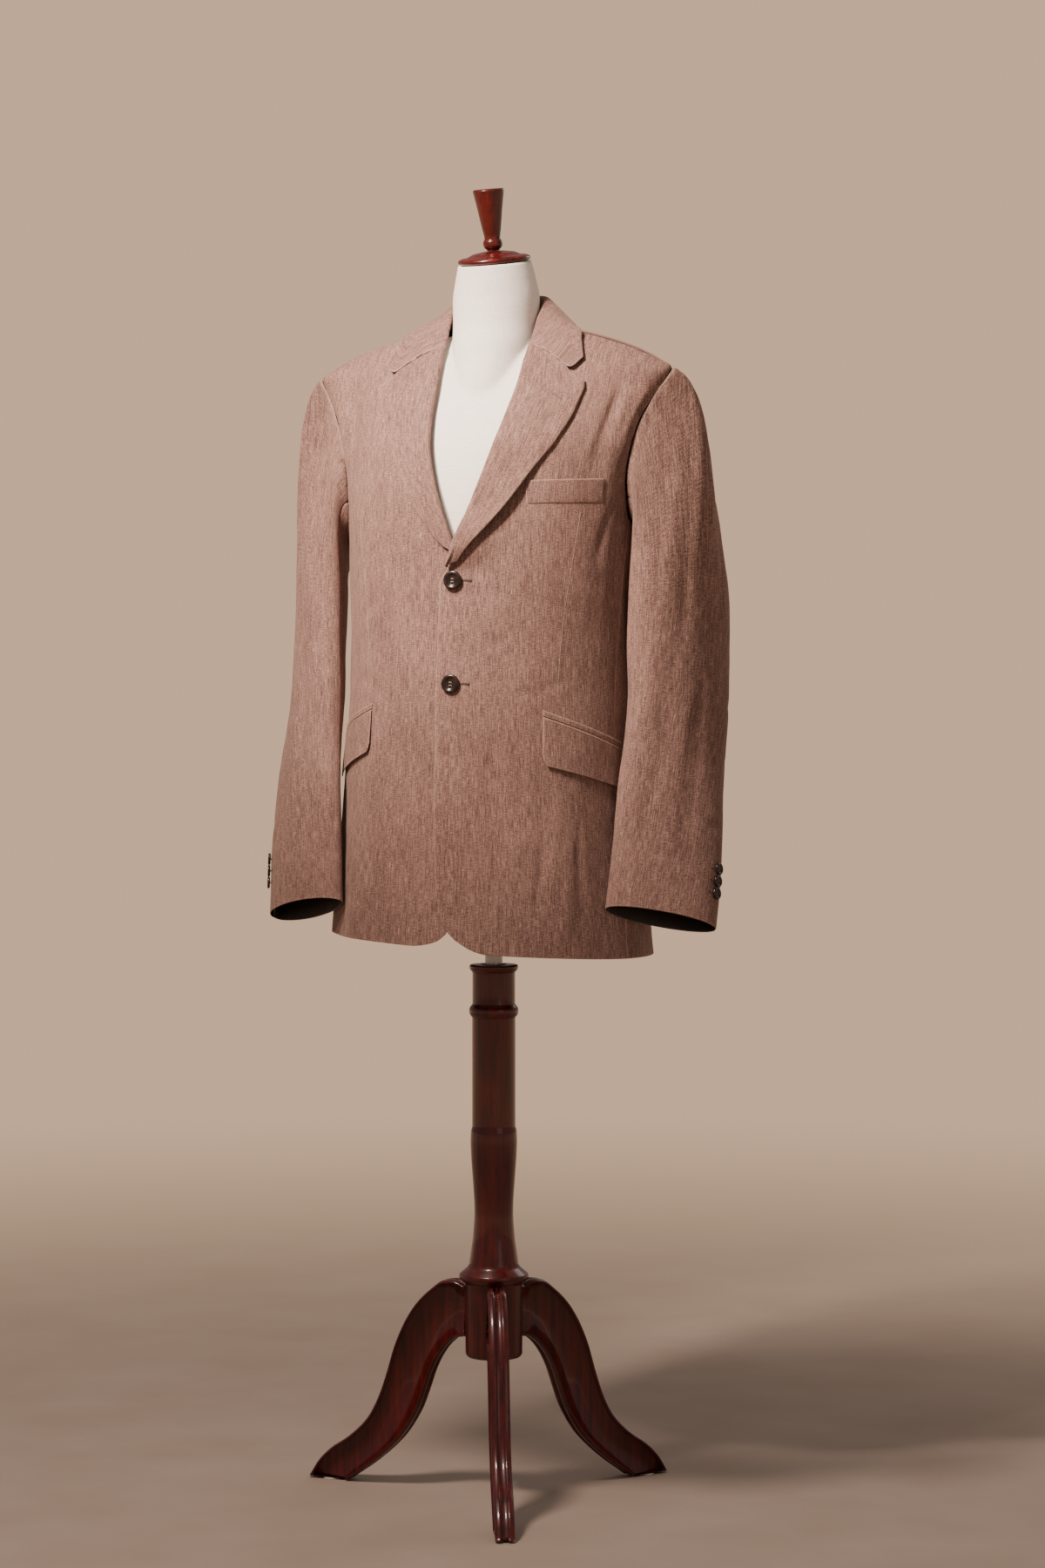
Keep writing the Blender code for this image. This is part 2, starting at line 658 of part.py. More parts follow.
def laid_grid(corners, side, out, rows, columns, corner=0.0):
    """A small piece on a panel, from its foot up the shares in `rows`; `corner` rounds its lower corners."""
    grid = []
    for v in rows:
        row = []
        for j in range(columns):
            u = j / (columns - 1)
            inset = corner * (1 - min(v / 0.24, 1.0)) ** 2 * (2 * u - 1) * (abs(2 * u - 1) ** 3)
            t = u - inset
            foot = [corners[0][k] + (corners[1][k] - corners[0][k]) * t for k in (0, 1)]
            head = [corners[3][k] + (corners[2][k] - corners[3][k]) * t for k in (0, 1)]
            angle = foot[0] + (head[0] - foot[0]) * v
            z = foot[1] + (head[1] - foot[1]) * v
            row.append(front_point(angle * DEG, z, out(v), side))
        grid.append(row)
    return grid


BUTTON_HALF = 11.5 * MM
CUFF_BUTTON_HALF = 7.5 * MM


def button_profile(half, thick):
    """Radius and height of a rimmed button from the middle of its face to the middle of its back."""
    return (
        (0.0, thick * 0.62), (half * 0.50, thick * 0.62), (half * 0.62, thick * 0.80), (half * 0.70, thick),
        (half * 0.86, thick), (half, thick * 0.66), (half, thick * 0.40), (half * 0.80, 0.0), (0.0, 0.0),
    )


def place(thing, centre, outward):
    """Turns a solid's Z axis to point outward and moves it to its place."""
    turn = Vector(outward).to_track_quat("Z", "Y").to_matrix().to_4x4()
    turn.translation = centre
    thing.matrix_world = turn


def add_front_button(name, z, out, look):
    made = add_turned(name, button_profile(BUTTON_HALF, 4.2 * MM), look, 20)
    normal = body_normal(0.0, z)
    place(made, front_point(0.0, z, out, 1), normal)


def add_cuff_button(name, table, index, side, look):
    """A button on the top sleeve just before the hind seam, above the cuff."""
    made = add_turned(name, button_profile(CUFF_BUTTON_HALF, 3.2 * MM), look, 14)
    z = table[0][0] + 0.036 + 0.0135 * index
    step = 1 + (table[-1][0] - z) / (table[-1][0] - table[0][0])
    here = sleeve_point(table, 151, step, side)
    around = sleeve_point(table, 155, step, side) - sleeve_point(table, 147, step, side)
    along = sleeve_point(table, 151, step + 0.02, side) - sleeve_point(table, 151, step - 0.02, side)
    normal = around.cross(along).normalized()
    x, y = read(table, z)[:2]
    if normal.dot(here - Vector((side * x, y, here.z))) < 0:
        normal = -normal
    place(made, here + normal * 1.5 * MM, normal)


# ---------------------------------------------------------------- dress form

FORM_LOWER = 0.0042          # the form's shoulders lie this much under the blazer's
EASE = (  # how far the form lies inside the blazer: height, sides, front, back
    (0.790, 0.034, 0.046, 0.034),
    (0.850, 0.026, 0.034, 0.022),
    (0.950, 0.024, 0.026, 0.018),
    (1.040, 0.024, 0.020, 0.014),
    (1.140, 0.020, 0.014, 0.012),
    (1.220, 0.014, 0.010, 0.009),
    (1.300, 0.014, 0.0085, 0.0075),
    (1.360, 0.016, 0.0060, 0.0060),
    (1.404, 0.012, 0.0030, 0.0045),
    (1.430, 0.004, 0.0035, 0.0030),
    (1.462, 0.002, 0.0035, 0.0030),
)
NECK = (  # height, half width, depth before, depth behind, y of its middle
    (1.330, 0.030, 0.066, 0.030, 0.006),
    (1.380, 0.046, 0.066, 0.050, 0.008),
    (1.420, 0.0515, 0.0610, 0.0510, 0.010),
    (1.460, 0.0540, 0.0560, 0.0515, 0.011),
    (1.495, 0.0545, 0.0520, 0.0520, 0.010),
    (1.522, 0.0500, 0.0480, 0.0510, 0.006),
    (1.541, 0.0455, 0.0440, 0.0465, 0.003),
)
FORM_STEPS = 32
POLE_HALF = 11.0 * MM
BORE_HALF = 11.9 * MM
POLE_TOP = 0.9600
POLE_FOOT = 0.3200


def form_point(angle, z):
    """A point of the form: the body under the blazer and the neck, whichever stands further out."""
    neck_half, neck_front, neck_back, neck_y = read(NECK, z)
    c = math.cos(angle)
    s = math.sin(angle)
    depth = neck_front if c > 0 else neck_back
    neck = 1 / math.sqrt((s / neck_half) ** 2 + (c / depth) ** 2) if z >= NECK[0][0] else 0.0
    body = 0.0
    if z < 1.458:
        half, front, back, side_y, _ = read(BODY, z + FORM_LOWER * (ease((z - 1.34) / 0.05) + ease((z - 1.41) / 0.03)))
        sides, before, behind = read(EASE, z)
        half -= sides
        depth = front + side_y - before if c > 0 else back - side_y - behind
        if half > 0 and depth > 0:
            body = 1 / math.sqrt((s / half) ** 2 + (c / depth) ** 2)
    out = (neck ** 28 + body ** 28) ** (1 / 28)
    middle = neck_y if z > 1.46 else read(BODY, z)[3]
    x = out * s
    y = middle - out * c
    tip = ease((z - 1.46) / 0.081)
    return Vector((x, y, z - tip * (CAP_LEAN[0] * x + CAP_LEAN[1] * (y - middle))))


CAP_CENTRE = (0.0, 0.0030, 1.5416)
CAP_LEAN = (-0.026, -0.19, 1.0)


def add_form(look):
    levels = (0.800, 0.830, 0.870, 0.930, 0.990, 1.050, 1.110, 1.165, 1.215, 1.260, 1.300, 1.335, 1.365, 1.388,
              1.402, 1.412, 1.422, 1.433, 1.445, 1.456, 1.468, 1.482, 1.500, 1.522, 1.541)
    turns = [2 * math.pi * j / FORM_STEPS for j in range(FORM_STEPS)]
    socket = [Vector((BORE_HALF * math.sin(t), -BORE_HALF * math.cos(t), 0)) for t in turns]
    foot = [Vector((p.x * 0.95, p.y * 0.95, 0.784)) for p in (form_point(t, 0.790) for t in turns)]
    roof = POLE_TOP + 0.0006
    rings = [[p + Vector((0, 0, roof)) for p in socket], [p + Vector((0, 0, 0.784)) for p in socket], foot]
    for z in levels:
        rings.append([form_point(t, z) for t in turns])
    return add_loft("form_torso", rings, look)


CAP_PROFILE = (
    (0.0, 0.0150), (0.0130, 0.0146), (0.0260, 0.0124), (0.0330, 0.0092), (0.0350, 0.0086), (0.0405, 0.0080),
    (0.0445, 0.0062), (0.0455, 0.0042), (0.0445, 0.0016), (0.0410, 0.0), (0.0, 0.0),
)
FINIAL_PROFILE = (
    (0.0, 0.0760), (0.0180, 0.0760), (0.0195, 0.0746), (0.0190, 0.0715), (0.0150, 0.0480), (0.0118, 0.0270),
    (0.0100, 0.0180), (0.0100, 0.0140), (0.0118, 0.0120), (0.0122, 0.0080), (0.0112, 0.0040), (0.0080, 0.0016),
    (0.0080, 0.0), (0.0, 0.0),
)

# ---------------------------------------------------------------- stand

COLUMN_PROFILE = (
    (0.0, 0.2150), (BORE_HALF, 0.2150), (BORE_HALF, 0.6670), (0.0290, 0.6670), (0.0306, 0.6655), (0.0306, 0.6620), (0.0290, 0.6595), (0.0268, 0.6575),
    (0.0268, 0.6170), (0.0290, 0.6150), (0.0309, 0.6115), (0.0309, 0.6060), (0.0290, 0.6025), (0.0272, 0.6010),
    (0.0272, 0.4640), (0.0288, 0.4590), (0.0294, 0.4470), (0.0285, 0.4250), (0.0262, 0.3950), (0.0245, 0.3700),
    (0.0242, 0.3520), (0.0262, 0.3250), (0.0292, 0.3050), (0.0310, 0.2920), (0.0330, 0.2880), (0.0437, 0.2790),
    (0.0437, 0.2750), (0.0400, 0.2700), (0.0358, 0.2680), (0.0358, 0.1790), (0.0330, 0.1750), (0.0, 0.1750),
)
LEG_OUTER = (
    (0.0362, 0.2630), (0.0530, 0.2690), (0.0680, 0.2670), (0.0860, 0.2550), (0.1060, 0.2360), (0.1230, 0.2110),
    (0.1370, 0.1807), (0.1484, 0.1458), (0.1597, 0.1156), (0.1767, 0.0850), (0.2050, 0.0580), (0.2303, 0.0410),
    (0.2480, 0.0240), (0.2620, 0.0027),
)
LEG_INNER = (
    (0.0362, 0.1980), (0.0480, 0.1960), (0.0600, 0.1880), (0.0740, 0.1710), (0.0850, 0.1500), (0.0930, 0.1280),
    (0.1030, 0.1020), (0.1130, 0.0840), (0.1259, 0.0658), (0.1400, 0.0510), (0.1560, 0.0370), (0.1760, 0.0215),
    (0.1930, 0.0100), (0.2040, 0.0023),
)
LEG_HALF = 12.0 * MM
LEG_EDGE = 4.0 * MM
LEG_TURNS = (22.0, 142.0, 262.0)
GLIDE = 2.0 * MM


def add_leg(name, turn, look):
    """One S-curved leg of flat board with rounded long edges, standing at `turn` degrees from -Y."""
    out = Vector((math.sin(turn * DEG), -math.cos(turn * DEG), 0))
    across = Vector((math.cos(turn * DEG), math.sin(turn * DEG), 0))
    up = Vector((0, 0, 1))
    rings = []
    for (r1, z1), (r2, z2) in zip(LEG_OUTER, LEG_INNER):
        high = out * r1 + up * z1
        low = out * r2 + up * z2
        down = (low - high).normalized()
        edge = min(LEG_EDGE, (low - high).length * 0.3)
        ring = []
        for side, flip in ((1, 1), (-1, -1)):
            pairs = ((edge, 1.0), (edge * 0.3, 0.72), (0.0, 0.35))
            near = [high + down * d + across * side * LEG_HALF * w for d, w in pairs]
            far = [low - down * d + across * side * LEG_HALF * w for d, w in pairs]
            ring += near[::-1] + far if flip > 0 else far[::-1] + near
        rings.append(ring)
    return add_loft(name, rings, look)


def add_glide(name, turn, look):
    """The thin pale pad under the toe of a leg."""
    made = add_turned(name, ((0.0, GLIDE), (0.0105, GLIDE), (0.0115, GLIDE * 0.6), (0.0115, 0.0), (0.0, 0.0)), look, 20)
    out = Vector((math.sin(turn * DEG), -math.cos(turn * DEG), 0))
    made.location = out * 0.2330
    return made


# ---------------------------------------------------------------- the object

def clear_scene():
    for thing in list(bpy.data.objects):
        bpy.data.objects.remove(thing)


def build():
    linen = material("Linen", (0.30, 0.20, 0.16), 0.85)
    canvas = material("Canvas", (0.76, 0.72, 0.66), 0.9)
    mahogany = material("Mahogany", (0.09, 0.018, 0.014), 0.25)
    steel = material("Steel", (0.42, 0.42, 0.43), 0.3, 1.0)
    horn = material("Button", (0.03, 0.02, 0.017), 0.3)
    pad = material("Pad", (0.62, 0.58, 0.52), 0.6)

    for side, word, sleeve, lapel in ((1, "left", SLEEVE_LEFT, LAPEL_LEFT), (-1, "right", SLEEVE_RIGHT, LAPEL_RIGHT)):
        flip = side < 0
        add_wall("front_" + word, front_panel(side), linen, flip=flip)
        add_wall("side_" + word, side_panel(side), linen, flip=flip)
        add_wall("back_" + word, back_panel(side), linen, flip=flip)
        add_wall("lapel_" + word, lapel_grid(lapel, side), linen, inward=LAPEL_WALL, flip=flip)
        top = sleeve_grid(sleeve, FORE_SEAM + 1.3, HIND_SEAM - 1.5, 11, side)
        under = sleeve_grid(sleeve, HIND_SEAM + 1.5, 360 + FORE_SEAM - 1.3, 8, side)
        half = WALL / 2
        add_wall("top_sleeve_" + word, top, linen, inward=half, outward=half, flip=not flip)
        add_wall("under_sleeve_" + word, under, linen, inward=half, outward=half, flip=not flip)
        jet = JET_LEFT if side > 0 else JET_RIGHT
        flap = FLAP_LEFT if side > 0 else FLAP_RIGHT
        add_wall("pocket_jet_" + word, laid_grid(jet, side, lambda v: 2.4 * MM, (0, 1), 7), linen,
                 inward=1.2 * MM, flip=flip)
        add_wall("pocket_flap_" + word,
                 laid_grid(flap, side, lambda v: 3.4 * MM + 1.4 * MM * (1 - v), (0, 0.07, 0.20, 0.55, 1), 9, 0.05), linen,
                 inward=1.8 * MM, flip=flip)
        for index in range(3):
            add_cuff_button("cuff_button_%s_%d" % (word, index + 1), sleeve, index, side, horn)
    add_wall("collar", collar_grid(), linen, inward=LAPEL_WALL, flip=False)
    add_wall("breast_welt", laid_grid(WELT, 1, lambda v: 2.8 * MM, (0, 0.5, 1), 6), linen, inward=1.6 * MM)
    add_front_button("front_button_upper", 1.1412, 1.6 * MM, horn)
    add_front_button("front_button_lower", 1.0161, 0.5 * MM, horn)

    add_form(canvas)
    cap = add_turned("neck_cap", CAP_PROFILE, mahogany, 28)
    place(cap, CAP_CENTRE, CAP_LEAN)
    finial = add_turned("finial", FINIAL_PROFILE, mahogany, 20)
    lean = Vector(CAP_LEAN).normalized()
    place(finial, Vector(CAP_CENTRE) + lean * 0.0153, lean)

    add_turned("pole", ((0.0, POLE_TOP), (POLE_HALF, POLE_TOP), (POLE_HALF, POLE_FOOT), (0.0, POLE_FOOT)), steel, 24)
    add_turned("column", COLUMN_PROFILE, mahogany, 24)
    for index, turn in enumerate(LEG_TURNS):
        add_leg("leg_%d" % (index + 1), turn, mahogany)
        add_glide("foot_glide_%d" % (index + 1), turn, pad)


def centre_on_origin():
    """Moves every solid so that the box round the whole object is centred on X and Y and stands on Z = 0."""
    bpy.context.view_layer.update()
    graph = bpy.context.evaluated_depsgraph_get()
    low = [1e9] * 3
    high = [-1e9] * 3
    for thing in PARTS.objects:
        found = thing.evaluated_get(graph)
        mesh = found.to_mesh()
        for vertex in mesh.vertices:
            point = found.matrix_world @ vertex.co
            for k in range(3):
                low[k] = min(low[k], point[k])
                high[k] = max(high[k], point[k])
        found.to_mesh_clear()
    shift = Vector((-(low[0] + high[0]) / 2, -(low[1] + high[1]) / 2, -low[2]))
    for thing in PARTS.objects:
        thing.matrix_world.translation += shift


clear_scene()
PARTS = bpy.data.collections.new("Parts")
bpy.context.scene.collection.children.link(PARTS)
CUTTERS = bpy.data.collections.new("Cutters")
CUTTERS.hide_render = True
bpy.context.scene.collection.children.link(CUTTERS)
build()
centre_on_origin()
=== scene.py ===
"""Looks of a two-button linen blazer worn on a limbless dress form with a turned wooden tripod stand.

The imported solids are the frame.  Every piece of cloth is built again from the blazer's own surface with its
seams, creases and rounded edges, and the form and stand are turned and shaped finer.  Metres, Z up, the
front of the blazer towards -Y and the wearer's left towards +X.  Points are worked out with the stand's axis
as the Z axis and moved to the frame's place by AXIS when a mesh is made.
"""
import bmesh
import bpy
import functools
import math

import numpy as np
from mathutils import Matrix, Vector, noise


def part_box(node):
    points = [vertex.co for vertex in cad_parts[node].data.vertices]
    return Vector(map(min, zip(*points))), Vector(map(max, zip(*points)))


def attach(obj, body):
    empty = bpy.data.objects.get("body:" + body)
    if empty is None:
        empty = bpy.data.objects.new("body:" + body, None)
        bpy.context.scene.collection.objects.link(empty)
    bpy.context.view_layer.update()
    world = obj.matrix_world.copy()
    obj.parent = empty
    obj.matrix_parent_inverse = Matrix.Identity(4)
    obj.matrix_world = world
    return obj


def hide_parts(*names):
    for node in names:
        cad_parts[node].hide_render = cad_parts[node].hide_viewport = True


bl_info = {
    "name": "Linen Blazer on a Dress Form",
    "version": (1, 0, 0),
    "blender": (4, 5, 0),
    "location": "View3D > Sidebar > Blazer",
    "description": "Builds a worn two-button linen blazer, its dress form and its turned tripod stand",
    "category": "Add Mesh",
}

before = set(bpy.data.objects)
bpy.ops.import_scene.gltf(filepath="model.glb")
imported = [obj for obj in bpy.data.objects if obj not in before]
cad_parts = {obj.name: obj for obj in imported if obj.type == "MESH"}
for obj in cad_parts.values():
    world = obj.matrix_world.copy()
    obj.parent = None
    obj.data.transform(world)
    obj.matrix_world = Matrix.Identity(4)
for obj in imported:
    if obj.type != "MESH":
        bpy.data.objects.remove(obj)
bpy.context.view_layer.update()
COLUMN_LOW, COLUMN_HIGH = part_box("column")
AXIS = Vector(((COLUMN_LOW.x + COLUMN_HIGH.x) / 2, (COLUMN_LOW.y + COLUMN_HIGH.y) / 2, 0))

DEG = math.pi / 180
MM = 0.001


# ---------------------------------------------------------------- settings

def linear(code):
    """An sRGB hex colour as linear red, green, blue and alpha."""
    parts = [int(code[k:k + 2], 16) / 255 for k in (1, 3, 5)]
    return tuple(c / 12.92 if c <= 0.04045 else ((c + 0.055) / 1.055) ** 2.4 for c in parts) + (1.0,)


def shade(name, what, code):
    return bpy.props.FloatVectorProperty(name=name, description=what, subtype="COLOR", size=4, min=0, max=1,
                                         default=linear(code))


class BlazerCloth(bpy.types.PropertyGroup):
    wall: bpy.props.FloatProperty(
        name="Panel wall", description="Thickness of a panel with its lining",
        default=0.0013, min=0.0006, max=0.002, unit="LENGTH")
    double_wall: bpy.props.FloatProperty(
        name="Lapel wall", description="Thickness of the lapels and the collar",
        default=0.0018, min=0.001, max=0.0025, unit="LENGTH")
    crease_strength: bpy.props.FloatProperty(
        name="Creases", description="Depth of the creases placed by hand",
        default=1.0, min=0, max=1.5, subtype="FACTOR")
    crumple: bpy.props.FloatProperty(
        name="Crumple", description="Height of the linen's own low waves",
        default=0.0009, min=0, max=0.002, unit="LENGTH")
    seam_dip: bpy.props.FloatProperty(
        name="Seam dip", description="How far a sewn edge is drawn in, in millimetres",
        default=0.9, min=0, max=1.5)


class BlazerColours(bpy.types.PropertyGroup):
    linen_dark: shade("Dark yarn", "The linen's darkest yarns", "#4F3B36")
    linen_mid: shade("Middle yarn", "The linen's main colour", "#785C54")
    linen_light: shade("Light yarn", "The linen's palest yarns", "#9E7E73")
    # The slub colour also lightens the pieces' edges: partly rubbed wear, partly a painted highlight.
    slub: shade("Slub", "Thick undyed slubs, flecks and rubbed edges", "#C6A497")
    button: shade("Button", "The lighter cloud in the buttons", "#2C1D17")
    canvas: shade("Canvas", "The form's canvas where it has yellowed", "#F2ECE6")
    wood_dark: shade("Dark wood", "The mahogany's darker rings", "#2E0504")
    wood_light: shade("Light wood", "The mahogany's lighter rings", "#5C120C")
    floor: shade("Floor", "The studio's painted floor", "#A8978A")


class BlazerStudio(bpy.types.PropertyGroup):
    key_power: bpy.props.FloatProperty(
        name="Key light", description="Power of the large light at the viewer's left",
        default=52.0, min=0, unit="POWER")
    chest_power: bpy.props.FloatProperty(
        name="Chest light", description="Power of the soft spot on the chest",
        default=470.0, min=0, unit="POWER")
    fill_power: bpy.props.FloatProperty(
        name="Fill light", description="Power of the fill at the viewer's right",
        default=6.0, min=0, unit="POWER")
    lens: bpy.props.FloatProperty(
        name="Lens", description="Focal length on a 36 mm frame",
        default=82.0, min=20, unit="CAMERA")
    distance: bpy.props.FloatProperty(
        name="Camera distance", description="From the camera to the stand's axis",
        default=4.46, min=1, unit="LENGTH")


def cloth():
    return bpy.context.scene.blazer_cloth


def colours():
    return bpy.context.scene.blazer_colours


# ---------------------------------------------------------------- sizes

# Cloth
WALL = 2.0 * MM              # wall of every blazer panel
OVERLAP_LIFT = 1.6 * MM      # the left front rides this much out over the right one, which sinks as much
LAPEL_LIFT = 9.2 * MM        # the left front stands off this much more above its top button

# The blazer's outer surface in level rings:
# height, half width, depth before the axis, depth behind it, y of the side line, squareness
BODY = (
    (0.680, 0.2065, 0.175, 0.146, -0.004, 2.05),
    (0.750, 0.2010, 0.171, 0.145, -0.004, 2.05),
    (0.850, 0.1910, 0.166, 0.140, -0.004, 2.05),
    (0.950, 0.1840, 0.161, 0.130, -0.003, 2.05),
    (1.020, 0.1815, 0.157, 0.120, -0.002, 2.05),
    (1.080, 0.1815, 0.152, 0.117, 0.000, 2.05),
    (1.140, 0.1825, 0.149, 0.121, 0.000, 2.08),
    (1.200, 0.1835, 0.144, 0.129, 0.000, 2.10),
    (1.255, 0.1850, 0.137, 0.134, 0.000, 2.08),
    (1.300, 0.1915, 0.123, 0.133, 0.000, 2.05),
    (1.340, 0.2030, 0.097, 0.127, 0.001, 2.00),
    (1.380, 0.2200, 0.065, 0.114, 0.002, 2.00),
    (1.404, 0.2290, 0.048, 0.102, 0.003, 2.00),
    (1.414, 0.2150, 0.041, 0.097, 0.004, 2.00),
    (1.425, 0.1960, 0.033, 0.092, 0.005, 2.00),
    (1.436, 0.1700, 0.024, 0.086, 0.006, 2.00),
    (1.446, 0.1400, 0.016, 0.081, 0.007, 2.00),
    (1.455, 0.1060, 0.009, 0.077, 0.008, 2.00),
    (1.464, 0.0710, 0.003, 0.073, 0.009, 2.00),
    (1.480, 0.0600, 0.000, 0.070, 0.010, 2.00),
)

# Soft folds pressed into or out of the body: angle, height, half angle, half height, depth (mm, out is plus)
FOLDS = (
    (52, 1.345, 9, 0.085, -3.2),
    (66, 1.300, 7, 0.070, 2.0),
    (44, 1.100, 14, 0.100, -1.6),
    (22, 0.860, 9, 0.130, -2.2),
    (40, 0.760, 10, 0.110, 2.6),
    (58, 0.780, 8, 0.130, -3.0),
    (60, 1.070, 12, 0.070, -2.5),
    (142, 1.280, 9, 0.110, -3.2),
    (157, 1.180, 10, 0.120, 2.6),
    (150, 1.000, 11, 0.100, -3.2),
    (164, 0.840, 10, 0.150, 2.6),
    (142, 0.800, 9, 0.150, -3.0),
    (100, 0.980, 14, 0.100, -2.0),
    (96, 0.780, 12, 0.120, -4.0),
)

# Creases, one by one: angle and height where each starts and where it ends, then bow, half width and depth in
# mm (out is plus)
BODY_STROKES = (
    (19, 0.985, 15, 0.725, 3, 15, -2.0),
    (34, 0.925, 30, 0.700, -4, 12, -2.4),
    (26, 0.860, 23, 0.690, 3, 9, 1.6),
    (51, 0.865, 47, 0.690, 3, 11, -2.2),
    (43, 0.820, 40, 0.690, -2, 8, 1.4),
    (24, 1.125, 60, 1.085, -6, 9, -1.1),
    (20, 1.000, 56, 1.030, 5, 8, -0.9),
    (30, 1.200, 66, 1.130, 6, 9, -1.1),
    (74, 1.265, 58, 1.150, 5, 9, -2.2),
    (75, 1.225, 66, 1.080, 3, 7, -1.7),
    (80, 1.190, 84, 0.990, 2, 9, -1.8),
    (104, 1.185, 101, 1.000, 4, 9, -1.8),
    (90, 0.960, 92, 0.700, 3, 12, -1.8),
    (128, 1.300, 140, 1.100, -6, 10, -2.3),
    (121, 1.240, 134, 1.050, 4, 9, -1.9),
    (160, 1.360, 165, 1.120, 3, 12, -1.6),
    (173, 1.405, 171, 1.200, 2, 10, -1.0),
    (172, 1.075, 140, 1.050, 4, 8, -1.4),
    (169, 1.035, 138, 1.010, -4, 7, -1.1),
    (151, 0.955, 147, 0.710, 4, 14, -2.2),
    (167, 0.900, 169, 0.700, -3, 11, -1.8),
    (130, 0.930, 132, 0.710, 3, 11, -2.0),
)
LEFT_STROKES = (
    (51, 1.402, 61, 1.262, 3, 19, -4.2),
    (68, 1.390, 70, 1.280, -2, 13, 1.6),
)
RIGHT_STROKES = (
    (46, 1.400, 63, 1.252, -5, 20, -3.8),
    (36, 1.370, 45, 1.250, 3, 15, 1.3),
    (66, 1.390, 71, 1.280, -3, 12, 1.4),
)
# Creases of a sleeve: turn and way down it in metres, then as above
SLEEVE_STROKES = (
    (48, 0.010, 37, 0.190, 0, 11, -1.5),
    (71, 0.010, 65, 0.260, 2, 13, -2.0),
    (92, 0.010, 88, 0.210, 0, 12, -0.9),
    (114, 0.010, 121, 0.210, 0, 12, -1.5),
    (137, 0.015, 143, 0.220, 0, 11, -1.4),
    (58, 0.190, 47, 0.500, 6, 12, -2.0),
    (28, 0.160, 22, 0.420, -4, 9, -2.0),
    (84, 0.240, 74, 0.530, 4, 11, 1.5),
    (100, 0.220, 104, 0.520, -4, 10, -1.6),
    (12, 0.275, 36, 0.300, 4, 6, -1.6),
    (8, 0.330, 34, 0.350, -3, 6, -1.9),
    (146, 0.290, 172, 0.330, 3, 8, -1.6),
    (140, 0.350, 168, 0.375, -3, 7, -1.3),
    (62, 0.470, 100, 0.505, 4, 8, -0.8),
    (120, 0.440, 162, 0.470, 3, 7, -1.4),
    (228, 0.080, 238, 0.320, 4, 10, -2.0),
    (282, 0.100, 270, 0.420, -4, 10, -2.0),
    (250, 0.330, 300, 0.350, 3, 7, -1.4),
)
LEFT_SLEEVE_STROKES = (
    (20, 0.505, 58, 0.530, -3, 7, -1.3),
)
RIGHT_SLEEVE_STROKES = (
    (34, 0.495, 2, 0.430, 4, 6, -2.6),
    (52, 0.370, 24, 0.400, 4, 8, -1.8),
)
# Rows of a sleeve's grid about the join of its head and its arm, and their neighbours above and below
JOIN_ROWS, JOIN_ABOVE, JOIN_BELOW = slice(32, 58), slice(31, 57), slice(33, 59)
SEAM_REACH = 0.0042          # width over which a sewn edge is drawn in
RUB_AND_HIGHLIGHT_REACH = 0.0022           # width over which an edge is lightened, partly rubbed pale and partly a painted highlight
BODY_RADIUS = 0.185          # turns an angle on the body into a length
CHEST_HALF = 0.1915          # half width of the chest, above which the yarns run straight up
SLEEVE_DEGREE = 1.05         # length in mm of a degree round a sleeve
YARN_DEGREE = 0.98           # the same for its yarns' own coordinates
SLEEVE_HEAD = 0.16           # length of a sleeve's head
SLEEVE_ARM = 0.40            # length of a sleeve below its head

# Front edge and roll line of a front, in its own half: height, x past the centre front (minus is past it)
FRONT_EDGE = (
    (0.7060, 0.0130),
    (0.7130, 0.0040),
    (0.7250, -0.0040),
    (0.7450, -0.0110),
    (0.7800, -0.0165),
    (0.8400, -0.0195),
    (0.9500, -0.0200),
    (1.1400, -0.0180),
    (1.1535, -0.0090),
    (1.1685, -0.0020),
    (1.2110, 0.0140),
    (1.2534, 0.0297),
    (1.2960, 0.0425),
    (1.3360, 0.0503),
    (1.3857, 0.0570),
    (1.4320, 0.0592),
    (1.4460, 0.0605),
    (1.4550, 0.0650),
    (1.4620, 0.0740),
)
# Side seams below the armhole: height, angle
FORE_SEAM_LINE = (
    (0.680, 70.0),
    (0.950, 71.5),
    (1.100, 76.0),
    (1.220, 82.5),
)
HIND_SEAM_LINE = (
    (0.680, 116.0),
    (0.900, 115.0),
    (1.100, 115.0),
    (1.222, 116.0),
)
# Armhole seam: turn about the sleeve (0 front, 90 top, 180 back, 270 foot), angle on the body, height
ARMHOLE = (
    (-90, 96.0, 1.2040),
    (-45, 82.5, 1.2200),
    (-15, 77.5, 1.2560),
    (0, 75.8, 1.2850),
    (30, 75.4, 1.3300),
    (60, 79.5, 1.3750),
    (90, 90.0, 1.4040),
    (120, 109.0, 1.3800),
    (150, 122.0, 1.3380),
    (180, 125.5, 1.2900),
    (205, 122.5, 1.2500),
    (230, 116.0, 1.2220),
    (270, 96.0, 1.2040),
)
FORE_TURN = -45              # where the side body's two seams meet the armhole
HIND_TURN = 230
HEM = 0.693                  # height of the hem on the centre line
HEM_RISE = 0.004             # the right front's hem hangs this much higher
HEM_TILT = 0.055             # how much lower it hangs, per metre towards the wearer's left
VENT_TOP = 0.905
FORE_FOOT = 1.220
HIND_FOOT = 1.222
SEAM_TURN = 0.0008           # half of the gap at a seam, as an angle on the body
NECK_POINT = 1.462
SHOULDER_POINT = 1.404
NECK_BACK = 1.470

